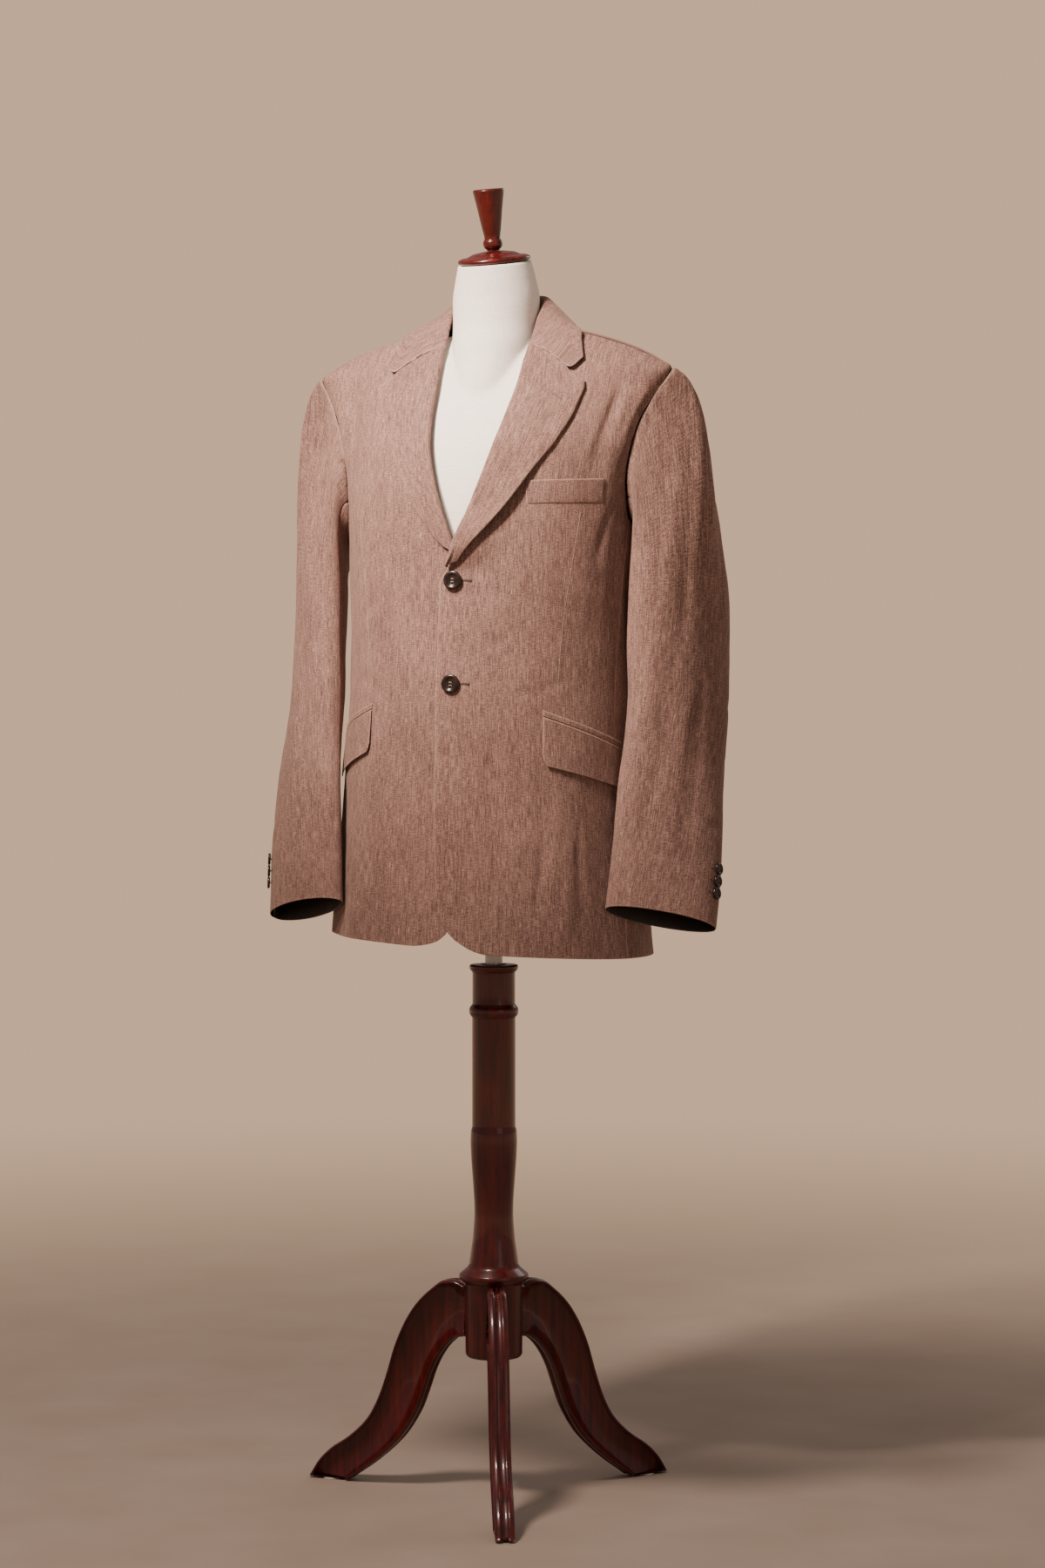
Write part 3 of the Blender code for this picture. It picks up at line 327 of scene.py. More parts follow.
# Sleeve rings: height of the centre, x, y, half length, half breadth, turn of the long side (degrees)
SLEEVE_LEFT = (
    (0.7310, 0.2352, -0.0600, 0.0700, 0.0230, -56),
    (0.8100, 0.2367, -0.0390, 0.0725, 0.0260, -48),
    (0.9000, 0.2344, -0.0130, 0.0760, 0.0300, -39),
    (1.0000, 0.2320, 0.0150, 0.0815, 0.0365, -32),
    (1.0800, 0.2300, 0.0300, 0.0830, 0.0400, -28),
    (1.1300, 0.2290, 0.0370, 0.0835, 0.0415, -26),
)
SLEEVE_RIGHT = (
    (0.7360, 0.2205, -0.0775, 0.0745, 0.0230, -56),
    (0.8100, 0.2245, -0.0640, 0.0745, 0.0265, -53),
    (0.9000, 0.2275, -0.0410, 0.0765, 0.0305, -45),
    (1.0000, 0.2295, -0.0020, 0.0790, 0.0355, -35),
    (1.0800, 0.2355, 0.0270, 0.0800, 0.0390, -28),
    (1.1300, 0.2360, 0.0370, 0.0805, 0.0400, -26),
)
INNER_FLAT = 0.62            # the side of a sleeve against the body is pressed this flat
HIND_SEAM = 180.0
FORE_SEAM = -22.0

# Rows of a lapel from the break up: share of its length, roll line (x, z), outer edge (angle, z)
LAPEL_LEFT = (
    (0.00, -0.0070, 1.1575, 2.0, 1.1640),
    (0.07, -0.0015, 1.1695, 5.5, 1.1790),
    (0.16, 0.0060, 1.1900, 12.0, 1.2050),
    (0.32, 0.0205, 1.2290, 20.5, 1.2400),
    (0.50, 0.0360, 1.2740, 29.0, 1.2800),
    (0.66, 0.0460, 1.3120, 35.5, 1.3120),
    (0.80, 0.0525, 1.3500, 38.6, 1.3470),
    (0.92, 0.0570, 1.3900, 38.4, 1.3740),
    (1.00, 0.0590, 1.4340, 36.9, 1.3870),
)
LAPEL_RIGHT = (
    (0.00, 0.0014, 1.1760, 4.2, 1.1830),
    (0.07, 0.0036, 1.1835, 6.4, 1.1905),
    (0.16, 0.0080, 1.1950, 9.5, 1.2040),
    (0.32, 0.0215, 1.2310, 17.5, 1.2400),
    (0.50, 0.0360, 1.2740, 25.0, 1.2820),
    (0.66, 0.0460, 1.3120, 31.0, 1.3160),
    (0.80, 0.0525, 1.3500, 35.0, 1.3490),
    (0.92, 0.0570, 1.3900, 37.2, 1.3760),
    (1.00, 0.0590, 1.4340, 36.9, 1.3875),
)
# Section of the rolled edge: distance past the roll line and height off the front, in mm
ROLL = ((-1.9, -1.6), (-4.1, 0.2), (-4.5, 2.8), (-2.6, 5.4), (1.8, 6.6))
LAPEL_FLAT = (0.12, 0.28, 0.46, 0.64, 0.82, 1.0)
LAPEL_HEAD_SAG = 0.052       # how far the lapel's head sinks to the notch, before its bump of t * t * (1 - t)

# Collar, from the centre back (0) to its front end (1): neckline, outer edge (angle, z each)
COLLAR = (
    (0.00, 180.0, 1.4700, 180.0, 1.4560),
    (0.20, 153.0, 1.4680, 158.0, 1.4550),
    (0.36, 130.0, 1.4660, 136.0, 1.4530),
    (0.50, 110.0, 1.4640, 114.0, 1.4550),
    (0.64, 88.0, 1.4620, 90.0, 1.4570),
    (0.76, 38.0, 1.4550, 62.0, 1.4485),
    (0.88, 25.5, 1.4460, 42.6, 1.4340),
    (1.00, 20.5, 1.4360, 36.6, 1.4142),
)
COLLAR_LIFT = 4.6 * MM       # its outer edge lies this far off the shoulder
COLLAR_STRAIGHT = 0.82       # from here to its end the outer edge is straight
# Its top fold: share, x, y, z
COLLAR_FOLD = (
    (0.00, 0.0000, 0.0735, 1.5060),
    (0.20, 0.0300, 0.0680, 1.5050),
    (0.36, 0.0490, 0.0520, 1.5020),
    (0.50, 0.0590, 0.0320, 1.4960),
    (0.64, 0.0610, 0.0120, 1.4830),
    (0.76, 0.0600, -0.0020, 1.4680),
    (0.88, 0.0595, -0.0140, 1.4510),
    (1.00, 0.0590, -0.0290, 1.4350),
)
# The seam between lapel and collar, from the roll line to the notch: angle, height
GORGE = (20.3, 1.4330)
NOTCH = (29.6, 1.4006)
# A front dart from its top to its foot: angle, height
DART = ((50.5, 1.226), (48.6, 1.190), (45.4, 1.1225), (43.0, 1.060), (41.8, 0.990))
# The lapel's buttonhole: share up the left lapel and across it, and its slope
LAPEL_HOLE = (0.853, 0.778, -0.62)

# Each laid piece: four corners (angle, z) from the front foot, round by the hind foot, to the front top
WELT = ((26.4, 1.2334), (61.6, 1.2363), (61.6, 1.2660), (25.6, 1.2618))
JET_LEFT = ((35.6, 0.9775), (76.0, 0.9375), (76.0, 0.9445), (35.6, 0.9845))
JET_RIGHT = ((38.3, 0.9865), (76.0, 0.9530), (76.0, 0.9600), (38.3, 0.9935))
FLAP_LEFT = ((34.9, 0.9180), (75.0, 0.8880), (76.0, 0.9365), (35.6, 0.9765))
FLAP_RIGHT = ((37.8, 0.9345), (75.0, 0.9000), (76.0, 0.9520), (38.3, 0.9855))

BUTTON_HALF = 11.5 * MM
CUFF_BUTTON_HALF = 7.5 * MM
# Front buttons: node, height, how far the back of each stands off the left front
FRONT_BUTTONS = (("front_button_upper", 1.1412, 1.6 * MM), ("front_button_lower", 1.0161, 0.5 * MM))
CUFF_FIRST = 0.036           # height of a cuff's lowest button above the sleeve's last ring
CUFF_PITCH = 0.0135
CUFF_TURN = 151              # turn of the cuff buttons round the sleeve
TACK_TURN = 137.5            # turn of the thread tacks beside them

FORM_LOWER = 0.0042          # the form's shoulders lie this much under the blazer's
# How far the form lies inside the blazer: height, sides, front, back
EASE = (
    (0.790, 0.034, 0.046, 0.034),
    (0.850, 0.026, 0.034, 0.022),
    (0.950, 0.024, 0.026, 0.018),
    (1.040, 0.024, 0.020, 0.014),
    (1.140, 0.020, 0.014, 0.012),
    (1.220, 0.014, 0.010, 0.009),
    (1.300, 0.014, 0.0085, 0.0075),
    (1.360, 0.016, 0.0060, 0.0060),
    (1.404, 0.012, 0.0030, 0.0045),
    (1.430, 0.004, 0.0035, 0.0030),
    (1.462, 0.002, 0.0035, 0.0030),
)
# The form's neck in level rings: height, half width, depth before, depth behind, y of its middle
NECK = (
    (1.330, 0.030, 0.066, 0.030, 0.006),
    (1.380, 0.046, 0.066, 0.050, 0.008),
    (1.420, 0.0515, 0.0610, 0.0510, 0.010),
    (1.460, 0.0540, 0.0560, 0.0515, 0.011),
    (1.495, 0.0545, 0.0520, 0.0520, 0.010),
    (1.522, 0.0500, 0.0480, 0.0510, 0.006),
    (1.541, 0.0455, 0.0440, 0.0465, 0.003),
)
POLE_HALF = 11.0 * MM
BORE_HALF = 11.9 * MM
POLE_TOP = 0.9600
POLE_FOOT = 0.3200
FORM_FOOT = 0.784            # height of the form's flat foot
FORM_HEIGHTS = np.concatenate([np.linspace(0.797, 1.36, 90), np.linspace(1.364, 1.541, 60)])
CAP_CENTRE = (0.0, 0.0030, 1.5416)
CAP_LEAN = (-0.026, -0.19, 1.0)
FINIAL_SEAT = 0.0153         # how far above the cap's foot the finial stands
# Turned profiles from top to bottom: radius, height
CAP_PROFILE = (
    (0.0, 0.0150), (0.0130, 0.0146), (0.0260, 0.0124), (0.0330, 0.0092), (0.0350, 0.0086),
    (0.0405, 0.0080), (0.0445, 0.0062), (0.0455, 0.0042), (0.0445, 0.0016), (0.0410, 0.0),
    (0.0, 0.0),
)
FINIAL_PROFILE = (
    (0.0, 0.0760), (0.0180, 0.0760), (0.0195, 0.0746), (0.0190, 0.0715), (0.0150, 0.0480),
    (0.0118, 0.0270), (0.0100, 0.0180), (0.0100, 0.0140), (0.0118, 0.0120), (0.0122, 0.0080),
    (0.0112, 0.0040), (0.0080, 0.0016), (0.0080, 0.0), (0.0, 0.0),
)
COLUMN_PROFILE = (
    (0.0, 0.2150), (BORE_HALF, 0.2150), (BORE_HALF, 0.6670), (0.0290, 0.6670), (0.0306, 0.6655),
    (0.0306, 0.6620), (0.0290, 0.6595), (0.0268, 0.6575), (0.0268, 0.6170), (0.0290, 0.6150),
    (0.0309, 0.6115), (0.0309, 0.6060), (0.0290, 0.6025), (0.0272, 0.6010), (0.0272, 0.4640),
    (0.0288, 0.4590), (0.0294, 0.4470), (0.0285, 0.4250), (0.0262, 0.3950), (0.0245, 0.3700),
    (0.0242, 0.3520), (0.0262, 0.3250), (0.0292, 0.3050), (0.0310, 0.2920), (0.0330, 0.2880),
    (0.0437, 0.2790), (0.0437, 0.2750), (0.0400, 0.2700), (0.0358, 0.2680), (0.0358, 0.1790),
    (0.0330, 0.1750), (0.0, 0.1750),
)
# Upper and lower outline of a leg: distance from the axis, height
LEG_OUTER = (
    (0.0362, 0.2630), (0.0530, 0.2690), (0.0680, 0.2670), (0.0860, 0.2550), (0.1060, 0.2360),
    (0.1230, 0.2110), (0.1370, 0.1807), (0.1484, 0.1458), (0.1597, 0.1156), (0.1767, 0.0850),
    (0.2050, 0.0580), (0.2303, 0.0410), (0.2480, 0.0240), (0.2620, 0.0027),
)
LEG_INNER = (
    (0.0362, 0.1980), (0.0480, 0.1960), (0.0600, 0.1880), (0.0740, 0.1710), (0.0850, 0.1500),
    (0.0930, 0.1280), (0.1030, 0.1020), (0.1130, 0.0840), (0.1259, 0.0658), (0.1400, 0.0510),
    (0.1560, 0.0370), (0.1760, 0.0215), (0.1930, 0.0100), (0.2040, 0.0023),
)
LEG_HALF = 12.0 * MM
LEG_EDGE = 4.0 * MM
LEG_TURNS = (22.0, 142.0, 262.0)
GLIDE = 2.0 * MM             # thickness of a glide
GLIDE_REACH = 0.2330         # how far its middle is from the axis

# Studio
SKY, SKY_STRENGTH = "#E9D8CF", 0.35            # what lights the object from all round
WALL_PAINT, WALL_STRENGTH = "#F2C9A6", 0.86    # what stands behind it, and the floor far from it
FLOOR_MOTTLE = "#9F8E80"     # the floor's darker patches
FLOOR_FADE = (0.6, 4.5)      # distances from its middle between which the floor turns into the wall
FLOOR_RINGS = (0.4, 1, 2, 4, 8, 16, 32, 64)
FLOOR_SIDES = 96
WARM_LIGHT = "#FFEADB"
PALE_LIGHT = "#FFF4EA"
CAMERA_TURN = 19 * DEG       # how far round towards the wearer's left the camera stands
CAMERA_PAN = math.atan(33 / 4100)    # how far to the right of the axis it looks
CAMERA_PITCH = 1.19 * DEG    # how far down it looks
CAMERA_HEIGHT = 0.985


# ---------------------------------------------------------------- numbers and curves

def unit(vectors):
    return vectors / np.maximum(np.linalg.norm(vectors, axis=-1, keepdims=True), 1e-12)


def together(*values):
    """Numbers and arrays as float arrays of one shape."""
    return np.broadcast_arrays(*(np.asarray(value, float) for value in values))


def bump(x):
    """A soft hump that is 1 at 0 and 0 from 1 on."""
    return (1 - np.minimum(np.abs(x), 1.0) ** 2) ** 2


def ease(x):
    """A soft step from 0 to 1."""
    x = np.clip(x, 0.0, 1.0)
    return x * x * (3 - 2 * x)


@functools.lru_cache(maxsize=64)
def curve(rows):
    """A table as an array, and slopes at its rows that keep each column's curve free of overshoot."""
    table = np.array(rows, float)
    steps = np.diff(table, axis=0)
    steps = steps[:, 1:] / steps[:, :1]
    before, after = steps[:-1], steps[1:]
    same_way = before * after > 0
    inner = np.where(same_way, 2 * before * after / np.where(same_way, before + after, 1.0), 0.0)
    return table, np.vstack([steps[:1], inner, steps[-1:]])


def read(rows, at):
    """The columns of a table at places in its first column, on smooth curves through its rows."""
    table, slope = curve(rows)
    at = np.clip(at, table[0, 0], table[-1, 0])
    i = np.clip(np.searchsorted(table[:, 0], at, "right") - 1, 0, len(table) - 2)
    width = table[i + 1, 0] - table[i, 0]
    t = (at - table[i, 0]) / width
    near = (2 * t - 3) * t * t + 1
    leave = ((t - 2) * t + 1) * t * width
    arrive = (t - 1) * t * t * width
    return [near * table[i, k] + leave * slope[i, k - 1]
            + (1 - near) * table[i + 1, k] + arrive * slope[i + 1, k - 1]
            for k in range(1, table.shape[1])]


def spread(length, step=5 * MM):
    """Shares along an edge, close together at both ends so that the wall's rim can round off."""
    ends = np.array([0.0, 0.7, 1.6, 3.0]) * MM * min(1.0, length / 0.016)
    middle = np.linspace(ends[-1], length - ends[-1], max(int(length / step), 3) + 1)[1:-1]
    return np.concatenate([ends, middle, length - ends[::-1]]) / length


def smooth_across(grid, count):
    """The same sheet with more columns, each row on a smooth curve through its points."""
    last = grid.shape[1] - 1
    tangents = np.gradient(grid, axis=1)
    at = np.linspace(0, last, count)
    i = np.clip(at.astype(int), 0, last - 1)
    t = (at - i)[None, :, None]
    return ((2 * t - 3) * t * t * (grid[:, i] - grid[:, i + 1]) + grid[:, i]
            + ((t - 2) * t + 1) * t * tangents[:, i] + (t - 1) * t * t * tangents[:, i + 1])


# ---------------------------------------------------------------- folds and creases

def stroke_relief(across, along, strokes):
    """Depth in metres of soft troughs (minus) and ridges (plus) drawn between pairs of places on a sheet.

    A stroke: where it starts and ends (across, along), bow, half width and depth in mm.
    """
    total = np.zeros(np.broadcast(across, along).shape)
    for k, (x0, y0, x1, y1, bow, wide, mm) in enumerate(strokes):
        length = math.hypot(x1 - x0, y1 - y0)
        t = ((across - x0) * (x1 - x0) + (along - y0) * (y1 - y0)) / length ** 2
        off = ((across - x0) * (y1 - y0) - (along - y0) * (x1 - x0)) / length
        off = off - MM * (bow * 4 * t * (1 - t) + 0.22 * wide * np.sin(7 * t + 2.1 * k))
        half = MM * wide * (0.85 + 0.3 * np.sin(4.3 * t + 1.3 * k))
        steep = np.where(off > 0, 1.25, 0.85)            # one flank of a crease stands steeper than the other
        q = (off * steep / half) ** 2
        ends = ease(t / 0.34) * ease((1 - t) / 0.34) * (0.82 + 0.18 * np.sin(9 * t + 1.7 * k))
        total += mm * MM * ends * (1 - 0.5 * q) * np.exp(-q)
    return total


def body_length(degrees):
    return degrees * DEG * BODY_RADIUS


def sleeve_length(degrees):
    return degrees * SLEEVE_DEGREE * MM


def in_lengths(strokes, length):
    """Strokes with the angles where they start and end turned into lengths."""
    return [(length(a), b, length(c), d, *rest) for a, b, c, d, *rest in strokes]


def crumple(points):
    """Low uneven waves of worn linen, about -1 to 1, longer up and down than across."""
    flat = points.reshape(-1, 3)
    wide = flat * (24.0, 24.0, 11.0)
    fine = flat * (66.0, 66.0, 34.0) + 7.3
    found = [noise.noise(Vector(a)) + 0.42 * noise.noise(Vector(b)) for a, b in zip(wide, fine)]
    return np.array(found).reshape(points.shape[:-1])


# ---------------------------------------------------------------- the blazer's body

def body_point(angle, z):
    """Points of the blazer's left half: angle 0 is the centre front and 180 degrees the centre back."""
    angle, z = together(angle, z)
    half, front, back, side_y, square = read(BODY, z)
    s, c = np.sin(angle), np.cos(angle)
    across = np.sign(s) * np.abs(s) ** (2 / square)
    depth = np.where(c > 0, -(front + side_y), back - side_y)
    return np.stack([half * across, side_y + depth * np.abs(c) ** (2 / square), z], axis=-1)


def body_normal(angle, z):
    step = 0.002
    around = body_point(angle + step, z) - body_point(angle - step, z)
    upward = body_point(angle, z + step) - body_point(angle, z - step)
    return unit(np.cross(around, upward))


def body_relief(angle, z, side, base):
    """How far the cloth stands off the plain body: wide folds, listed creases, and the linen's crumple."""
    degrees = angle / DEG
    depth = sum(mm * MM * bump((degrees - a) / (2 * wide)) * bump((z - height) / (1.6 * tall))
                for a, height, wide, tall, mm in FOLDS)
    strokes = BODY_STROKES + (LEFT_STROKES if side > 0 else RIGHT_STROKES)
    drawn = stroke_relief(body_length(degrees), z, in_lengths(strokes, body_length))
    drawn = drawn * ease((base[..., 0] - 0.022) / 0.03) * ease((1.418 - z) / 0.03)
    fine = crumple(base * (side, 1, 1)) * cloth().crumple * (0.35 + 0.65 * ease((1.42 - z) / 0.06))
    return depth * ease((1.415 - z) / 0.03) + drawn * cloth().crease_strength + fine


def cloth_point(angle, z, out=0.0, side=1):
    """Points on the worn blazer, `out` metres off its outer face, on the wearer's left or right."""
    angle, z, out = together(angle, z, out)
    base = body_point(angle, z)
    lift = body_relief(angle, z, side, base) + out
    return (base + lift[..., None] * body_normal(angle, z)) * (side, 1, 1)


def front_point(angle, z, out, side):
    """Points on a front, whose edge rides over the other front's or lies under it."""
    x = body_point(angle, z)[..., 0]
    lap = side * OVERLAP_LIFT * ease((0.062 - x) / 0.045) * ease((1.225 - z) / 0.05)
    if side > 0:
        lap = lap + LAPEL_LIFT * bump((z - 1.190) / 0.043) * ease((0.075 - x) / 0.06)
    return cloth_point(angle, z, out + lap, side)


def armhole(turn):
    degrees, z = read(ARMHOLE, (turn + 90) % 360 - 90)
    return degrees * DEG, z


def side_edge(z, seam_line, turns):
    """The angle of a side seam, and above its table that of the armhole between two turns."""
    z = np.asarray(z, float)
    low, high = np.full_like(z, turns[0]), np.full_like(z, turns[1])
    for _ in range(26):
        middle = (low + high) / 2
        under = armhole(middle)[1] < z
        low, high = np.where(under, middle, low), np.where(under, high, middle)
    return np.where(z <= seam_line[-1][0], read(seam_line, z)[0] * DEG, armhole(low)[0])


def fore_edge(z):
    return side_edge(z, FORE_SEAM_LINE, (FORE_TURN, 90))


def hind_edge(z):
    return side_edge(z, HIND_SEAM_LINE, (HIND_TURN, 90))


def angle_at(x, z):
    """The angle at which the body is x metres from its centre line."""
    half, _, _, _, square = read(BODY, z)
    return np.sign(x) * np.arcsin(np.minimum(np.abs(x) / half, 1.0) ** (square / 2))


def patch(left, right, bottom, top, rows, columns):
    """(angle, height) between four edges, its rows straight but for those near the bottom and top edges."""
    v, u = np.asarray(rows)[:, None], np.asarray(columns)[None, :]
    found = []
    for k in (0, 1):
        ruled = (1 - u) * left(v)[k] + u * right(v)[k]
        foot = bottom(u)[k] - (1 - u) * left(0.0)[k] - u * right(0.0)[k]
        head = top(u)[k] - (1 - u) * left(1.0)[k] - u * right(1.0)[k]
        found.append(ruled + (1 - v) ** 6 * foot + v ** 10 * head)
    return found


def straight(a, b):
    return lambda t: (a[0] + (b[0] - a[0]) * t, a[1] + (b[1] - a[1]) * t)


def hem_height(angle, side):
    rise = HEM_RISE * ease((1.9 - angle) / 0.4) if side < 0 else 0.0
    return HEM + rise - HEM_TILT * side * body_point(angle, HEM)[..., 0]


def body_grain(angle, z, side):
    """The yarns' own coordinates on a panel cut on the straight grain: across them and along them.

    Below the chest the yarns run down lines of one angle, and above it straight up to the shoulder.
    """
    share = body_point(angle, z)[..., 0] / CHEST_HALF
    upright = np.arcsin(np.minimum(share, 0.9)) + np.maximum(share - 0.9, 0) * 1.3
    upright = np.where(angle > math.pi / 2, math.pi - upright, upright)
    across = angle + (upright - angle) * ease((z - 1.26) / 0.08)
    return np.stack([side * across * BODY_RADIUS, z + 0 * angle], axis=-1)


def front_panel(side):
    """Front: from the front edge and roll line to the side seam and armhole."""
    start = FRONT_EDGE[0][0]
    low = hem_height(FORE_SEAM_LINE[0][1] * DEG, side)

    def edge(v):
        z = start + (NECK_POINT - start) * v
        return angle_at(read(FRONT_EDGE, z)[0], z), z

    def seam(v):
        z = low + (SHOULDER_POINT - low) * v
        return fore_edge(z) - SEAM_TURN, z

    def hem(u):
        angle = edge(0.0)[0] + (seam(0.0)[0] - edge(0.0)[0]) * u
        rise = np.maximum(0.0, 1 - u / 0.16) ** 2
        return angle, hem_height(angle, side) + rise * (start - hem_height(edge(0.0)[0], side))

    shoulder = straight((edge(1.0)[0], NECK_POINT), seam(1.0))
    angle, z = patch(edge, seam, hem, shoulder, spread(0.74), spread(0.24, 4 * MM))
    return front_point(angle, z, 0.0, side), body_grain(angle, z, side)


def side_panel(side):
    """Side body: from the front's side seam to the back seam, its top edge the foot of the armhole."""
    fore_low = hem_height(FORE_SEAM_LINE[0][1] * DEG, side)
    hind_low = hem_height(HIND_SEAM_LINE[0][1] * DEG, side)

    def fore(v):
        z = fore_low + (FORE_FOOT - fore_low) * v
        return fore_edge(z) + SEAM_TURN, z

    def hind(v):
        z = hind_low + (HIND_FOOT - hind_low) * v
        return hind_edge(z) - SEAM_TURN, z

    def foot(u):
        angle, z = armhole(FORE_TURN + (HIND_TURN - 360 - FORE_TURN) * u)
        return angle + SEAM_TURN * (1 - 2 * u), z

    angle, z = patch(fore, hind, straight(fore(0.0), hind(0.0)), foot, spread(0.52), spread(0.13))
    return cloth_point(angle, z, 0.0, side), body_grain(angle, z, side)


def back_panel(side):
    """Back: from the side seam and armhole to the centre back seam, lapped under the side at the vent."""
    low = hem_height(HIND_SEAM_LINE[0][1] * DEG, side)

    def seam(v):
        z = low + (SHOULDER_POINT - low) * v
        lap = 4.5 * DEG * ease((VENT_TOP - z) / 0.03)
        return hind_edge(z) + SEAM_TURN - lap + 1.4 * DEG * ease((z - 1.385) / 0.02), z

    def middle(z):
        return math.pi - 0.0005 / read(BODY, z)[0]

    def centre(v):
        z = HEM + (NECK_BACK - HEM) * v
        return middle(z), z

    def top(u):
        ridge, outer, inner = 92 * DEG, seam(1.0)[0], middle(NECK_BACK)
        t = np.maximum((u - 0.62) / 0.38, 0)
        s = np.minimum(u / 0.62, 1)
        angle = np.where(u < 0.62, ridge + (outer - ridge) * (1 - s), ridge + (inner - ridge) * t)
        z = np.where(u < 0.62, SHOULDER_POINT + (NECK_POINT - SHOULDER_POINT) * s,
                     NECK_POINT + (NECK_BACK - NECK_POINT) * ease(t))
        return angle, z

    columns = spread(0.24, 4 * MM)
    angle, z = patch(seam, centre, straight(seam(0.0), centre(0.0)), top, spread(0.78), columns)
    under = -3.6 * MM * ease((VENT_TOP + 0.03 - z) / 0.025) * ease((0.19 - columns[None, :]) / 0.08)
    return cloth_point(angle, z, under, side), body_grain(angle, z, side)


# ---------------------------------------------------------------- sleeves

def sleeve_ring(table, turn, z):
    x, y, long_half, short_half, twist = (np.asarray(value) for value in read(table, z))
    zero = np.zeros_like(twist * turn)
    front = np.stack([np.sin(twist * DEG) + zero, -np.cos(twist * DEG) + zero, zero], axis=-1)
    outer = np.stack([np.cos(twist * DEG) + zero, np.sin(twist * DEG) + zero, zero], axis=-1)
    c, s = np.cos(turn * DEG), np.sin(turn * DEG)
    slant = ease((0.85 - z) / 0.12)
    dent = 1 - 0.10 * bump((z - 0.985) / 0.10) * bump((s + 0.2) / 0.8) * (0.5 + 0.5 * c)
    level = z + slant * (0.014 * c + 0.010 * s)
    short = short_half * np.where(s > 0, s, s * (1 - (1 - INNER_FLAT) * ease(-s * 2)))
    centre = np.stack([x + zero, y + zero, level + zero], axis=-1)
    return centre + front * (long_half * c * dent)[..., None] + outer * short[..., None]


def sleeve_point(table, turn, step, side):
    """Points of the sleeve: steps 0 to 1 run from the armhole to the upper arm, 1 to 2 down to the cuff."""
    turn, step = together(turn, step)
    upper = table[-1][0]
    arm = sleeve_ring(table, turn, upper + (table[0][0] - upper) * np.clip(step - 1, 0, 1))
    angle, z = armhole(turn)
    normal = body_normal(angle, z)
    near = body_point(*armhole(turn + 2)) - body_point(*armhole(turn - 2))
    beyond = unit(np.cross(normal, near))
    up = np.sin(turn * DEG)
    rise = np.maximum(up, 0)
    reach = 0.060 + 0.085 * rise ** 1.5
    forward = -0.030 * np.cos(turn * DEG)
    leave = np.stack([reach, forward * (1 - np.abs(up)) + 0.105 * rise, -0.060 * rise - 0.006], axis=-1)
    share = np.abs(np.sum(unit(leave) * beyond, axis=-1))
    start = body_point(angle, z) + normal * (share * WALL / 2 + 1.3 * MM)[..., None]
    end = sleeve_ring(table, turn, np.full_like(turn, upper))
    drop = np.maximum(0.06, (start[..., 2] - end[..., 2]) * 1.05)
    arrive = np.stack([-0.012 * rise, 0 * rise, -drop], axis=-1)
    t = np.minimum(step, 1)[..., None]
    cap = ((2 * t**3 - 3 * t**2 + 1) * start + (t**3 - 2 * t**2 + t) * leave
           + (3 * t**2 - 2 * t**3) * end + (t**3 - t**2) * arrive)
    head = bump((step - 0.22) / 0.40)
    cap[..., 0] -= head * 0.0032 * (bump((turn - 62) / 20) + bump((turn - 120) / 22))
    cap[..., 0] += head * 0.0016 * bump((turn - 90) / 16)
    return np.where(step[..., None] > 1, arm, cap) * (side, 1, 1)


def sleeve_grid(table, first, last, side):
    """A sleeve panel with its creases; turns run round the arm and steps down it."""
    cap = np.concatenate([spread(0.2)[:4], np.linspace(0.02, 1, 40)])
    arm = 1 + spread(0.4)[4:]
    step = np.concatenate([cap, arm])[:, None]
    turn = (first + (last - first) * spread(sleeve_length(abs(last - first)), 4 * MM))[None, :]
    plain = sleeve_point(table, turn, step, side)
    # Eases the curve where the head meets the arm.
    for _ in range(40):
        plain[JOIN_ROWS] += 0.5 * ((plain[JOIN_ABOVE] + plain[JOIN_BELOW]) / 2 - plain[JOIN_ROWS])
    around = sleeve_length(turn % 360) + 0 * step
    down = np.where(step < 1, SLEEVE_HEAD * step, SLEEVE_HEAD + SLEEVE_ARM * (step - 1)) + 0 * turn
    strokes = SLEEVE_STROKES + (LEFT_SLEEVE_STROKES if side > 0 else RIGHT_SLEEVE_STROKES)
    depth = stroke_relief(around, down, in_lengths(strokes, sleeve_length))
    depth = depth * cloth().crease_strength * ease((down - 0.004) / 0.02) + crumple(plain) * cloth().crumple
    # Over the head the yarns run straight up and down, as seen from outside.
    _, x, y, long_half, _, twist = table[-1]
    forward = (plain[..., 0] * side - x) * math.sin(twist * DEG) - (plain[..., 1] - y) * math.cos(twist * DEG)
    upright = np.arccos(np.clip(forward / long_half, -0.985, 0.985)) / DEG
    head = ease((1.05 - step) / 0.35) * ease((turn + 12) / 30) * ease((150 - turn) / 50)
    grain = np.stack([side * (turn + (upright - turn) * head) * YARN_DEGREE * MM, down], axis=-1)
    return plain + depth[..., None] * grid_normals(plain, side > 0), grain


# ---------------------------------------------------------------- lapels and collar

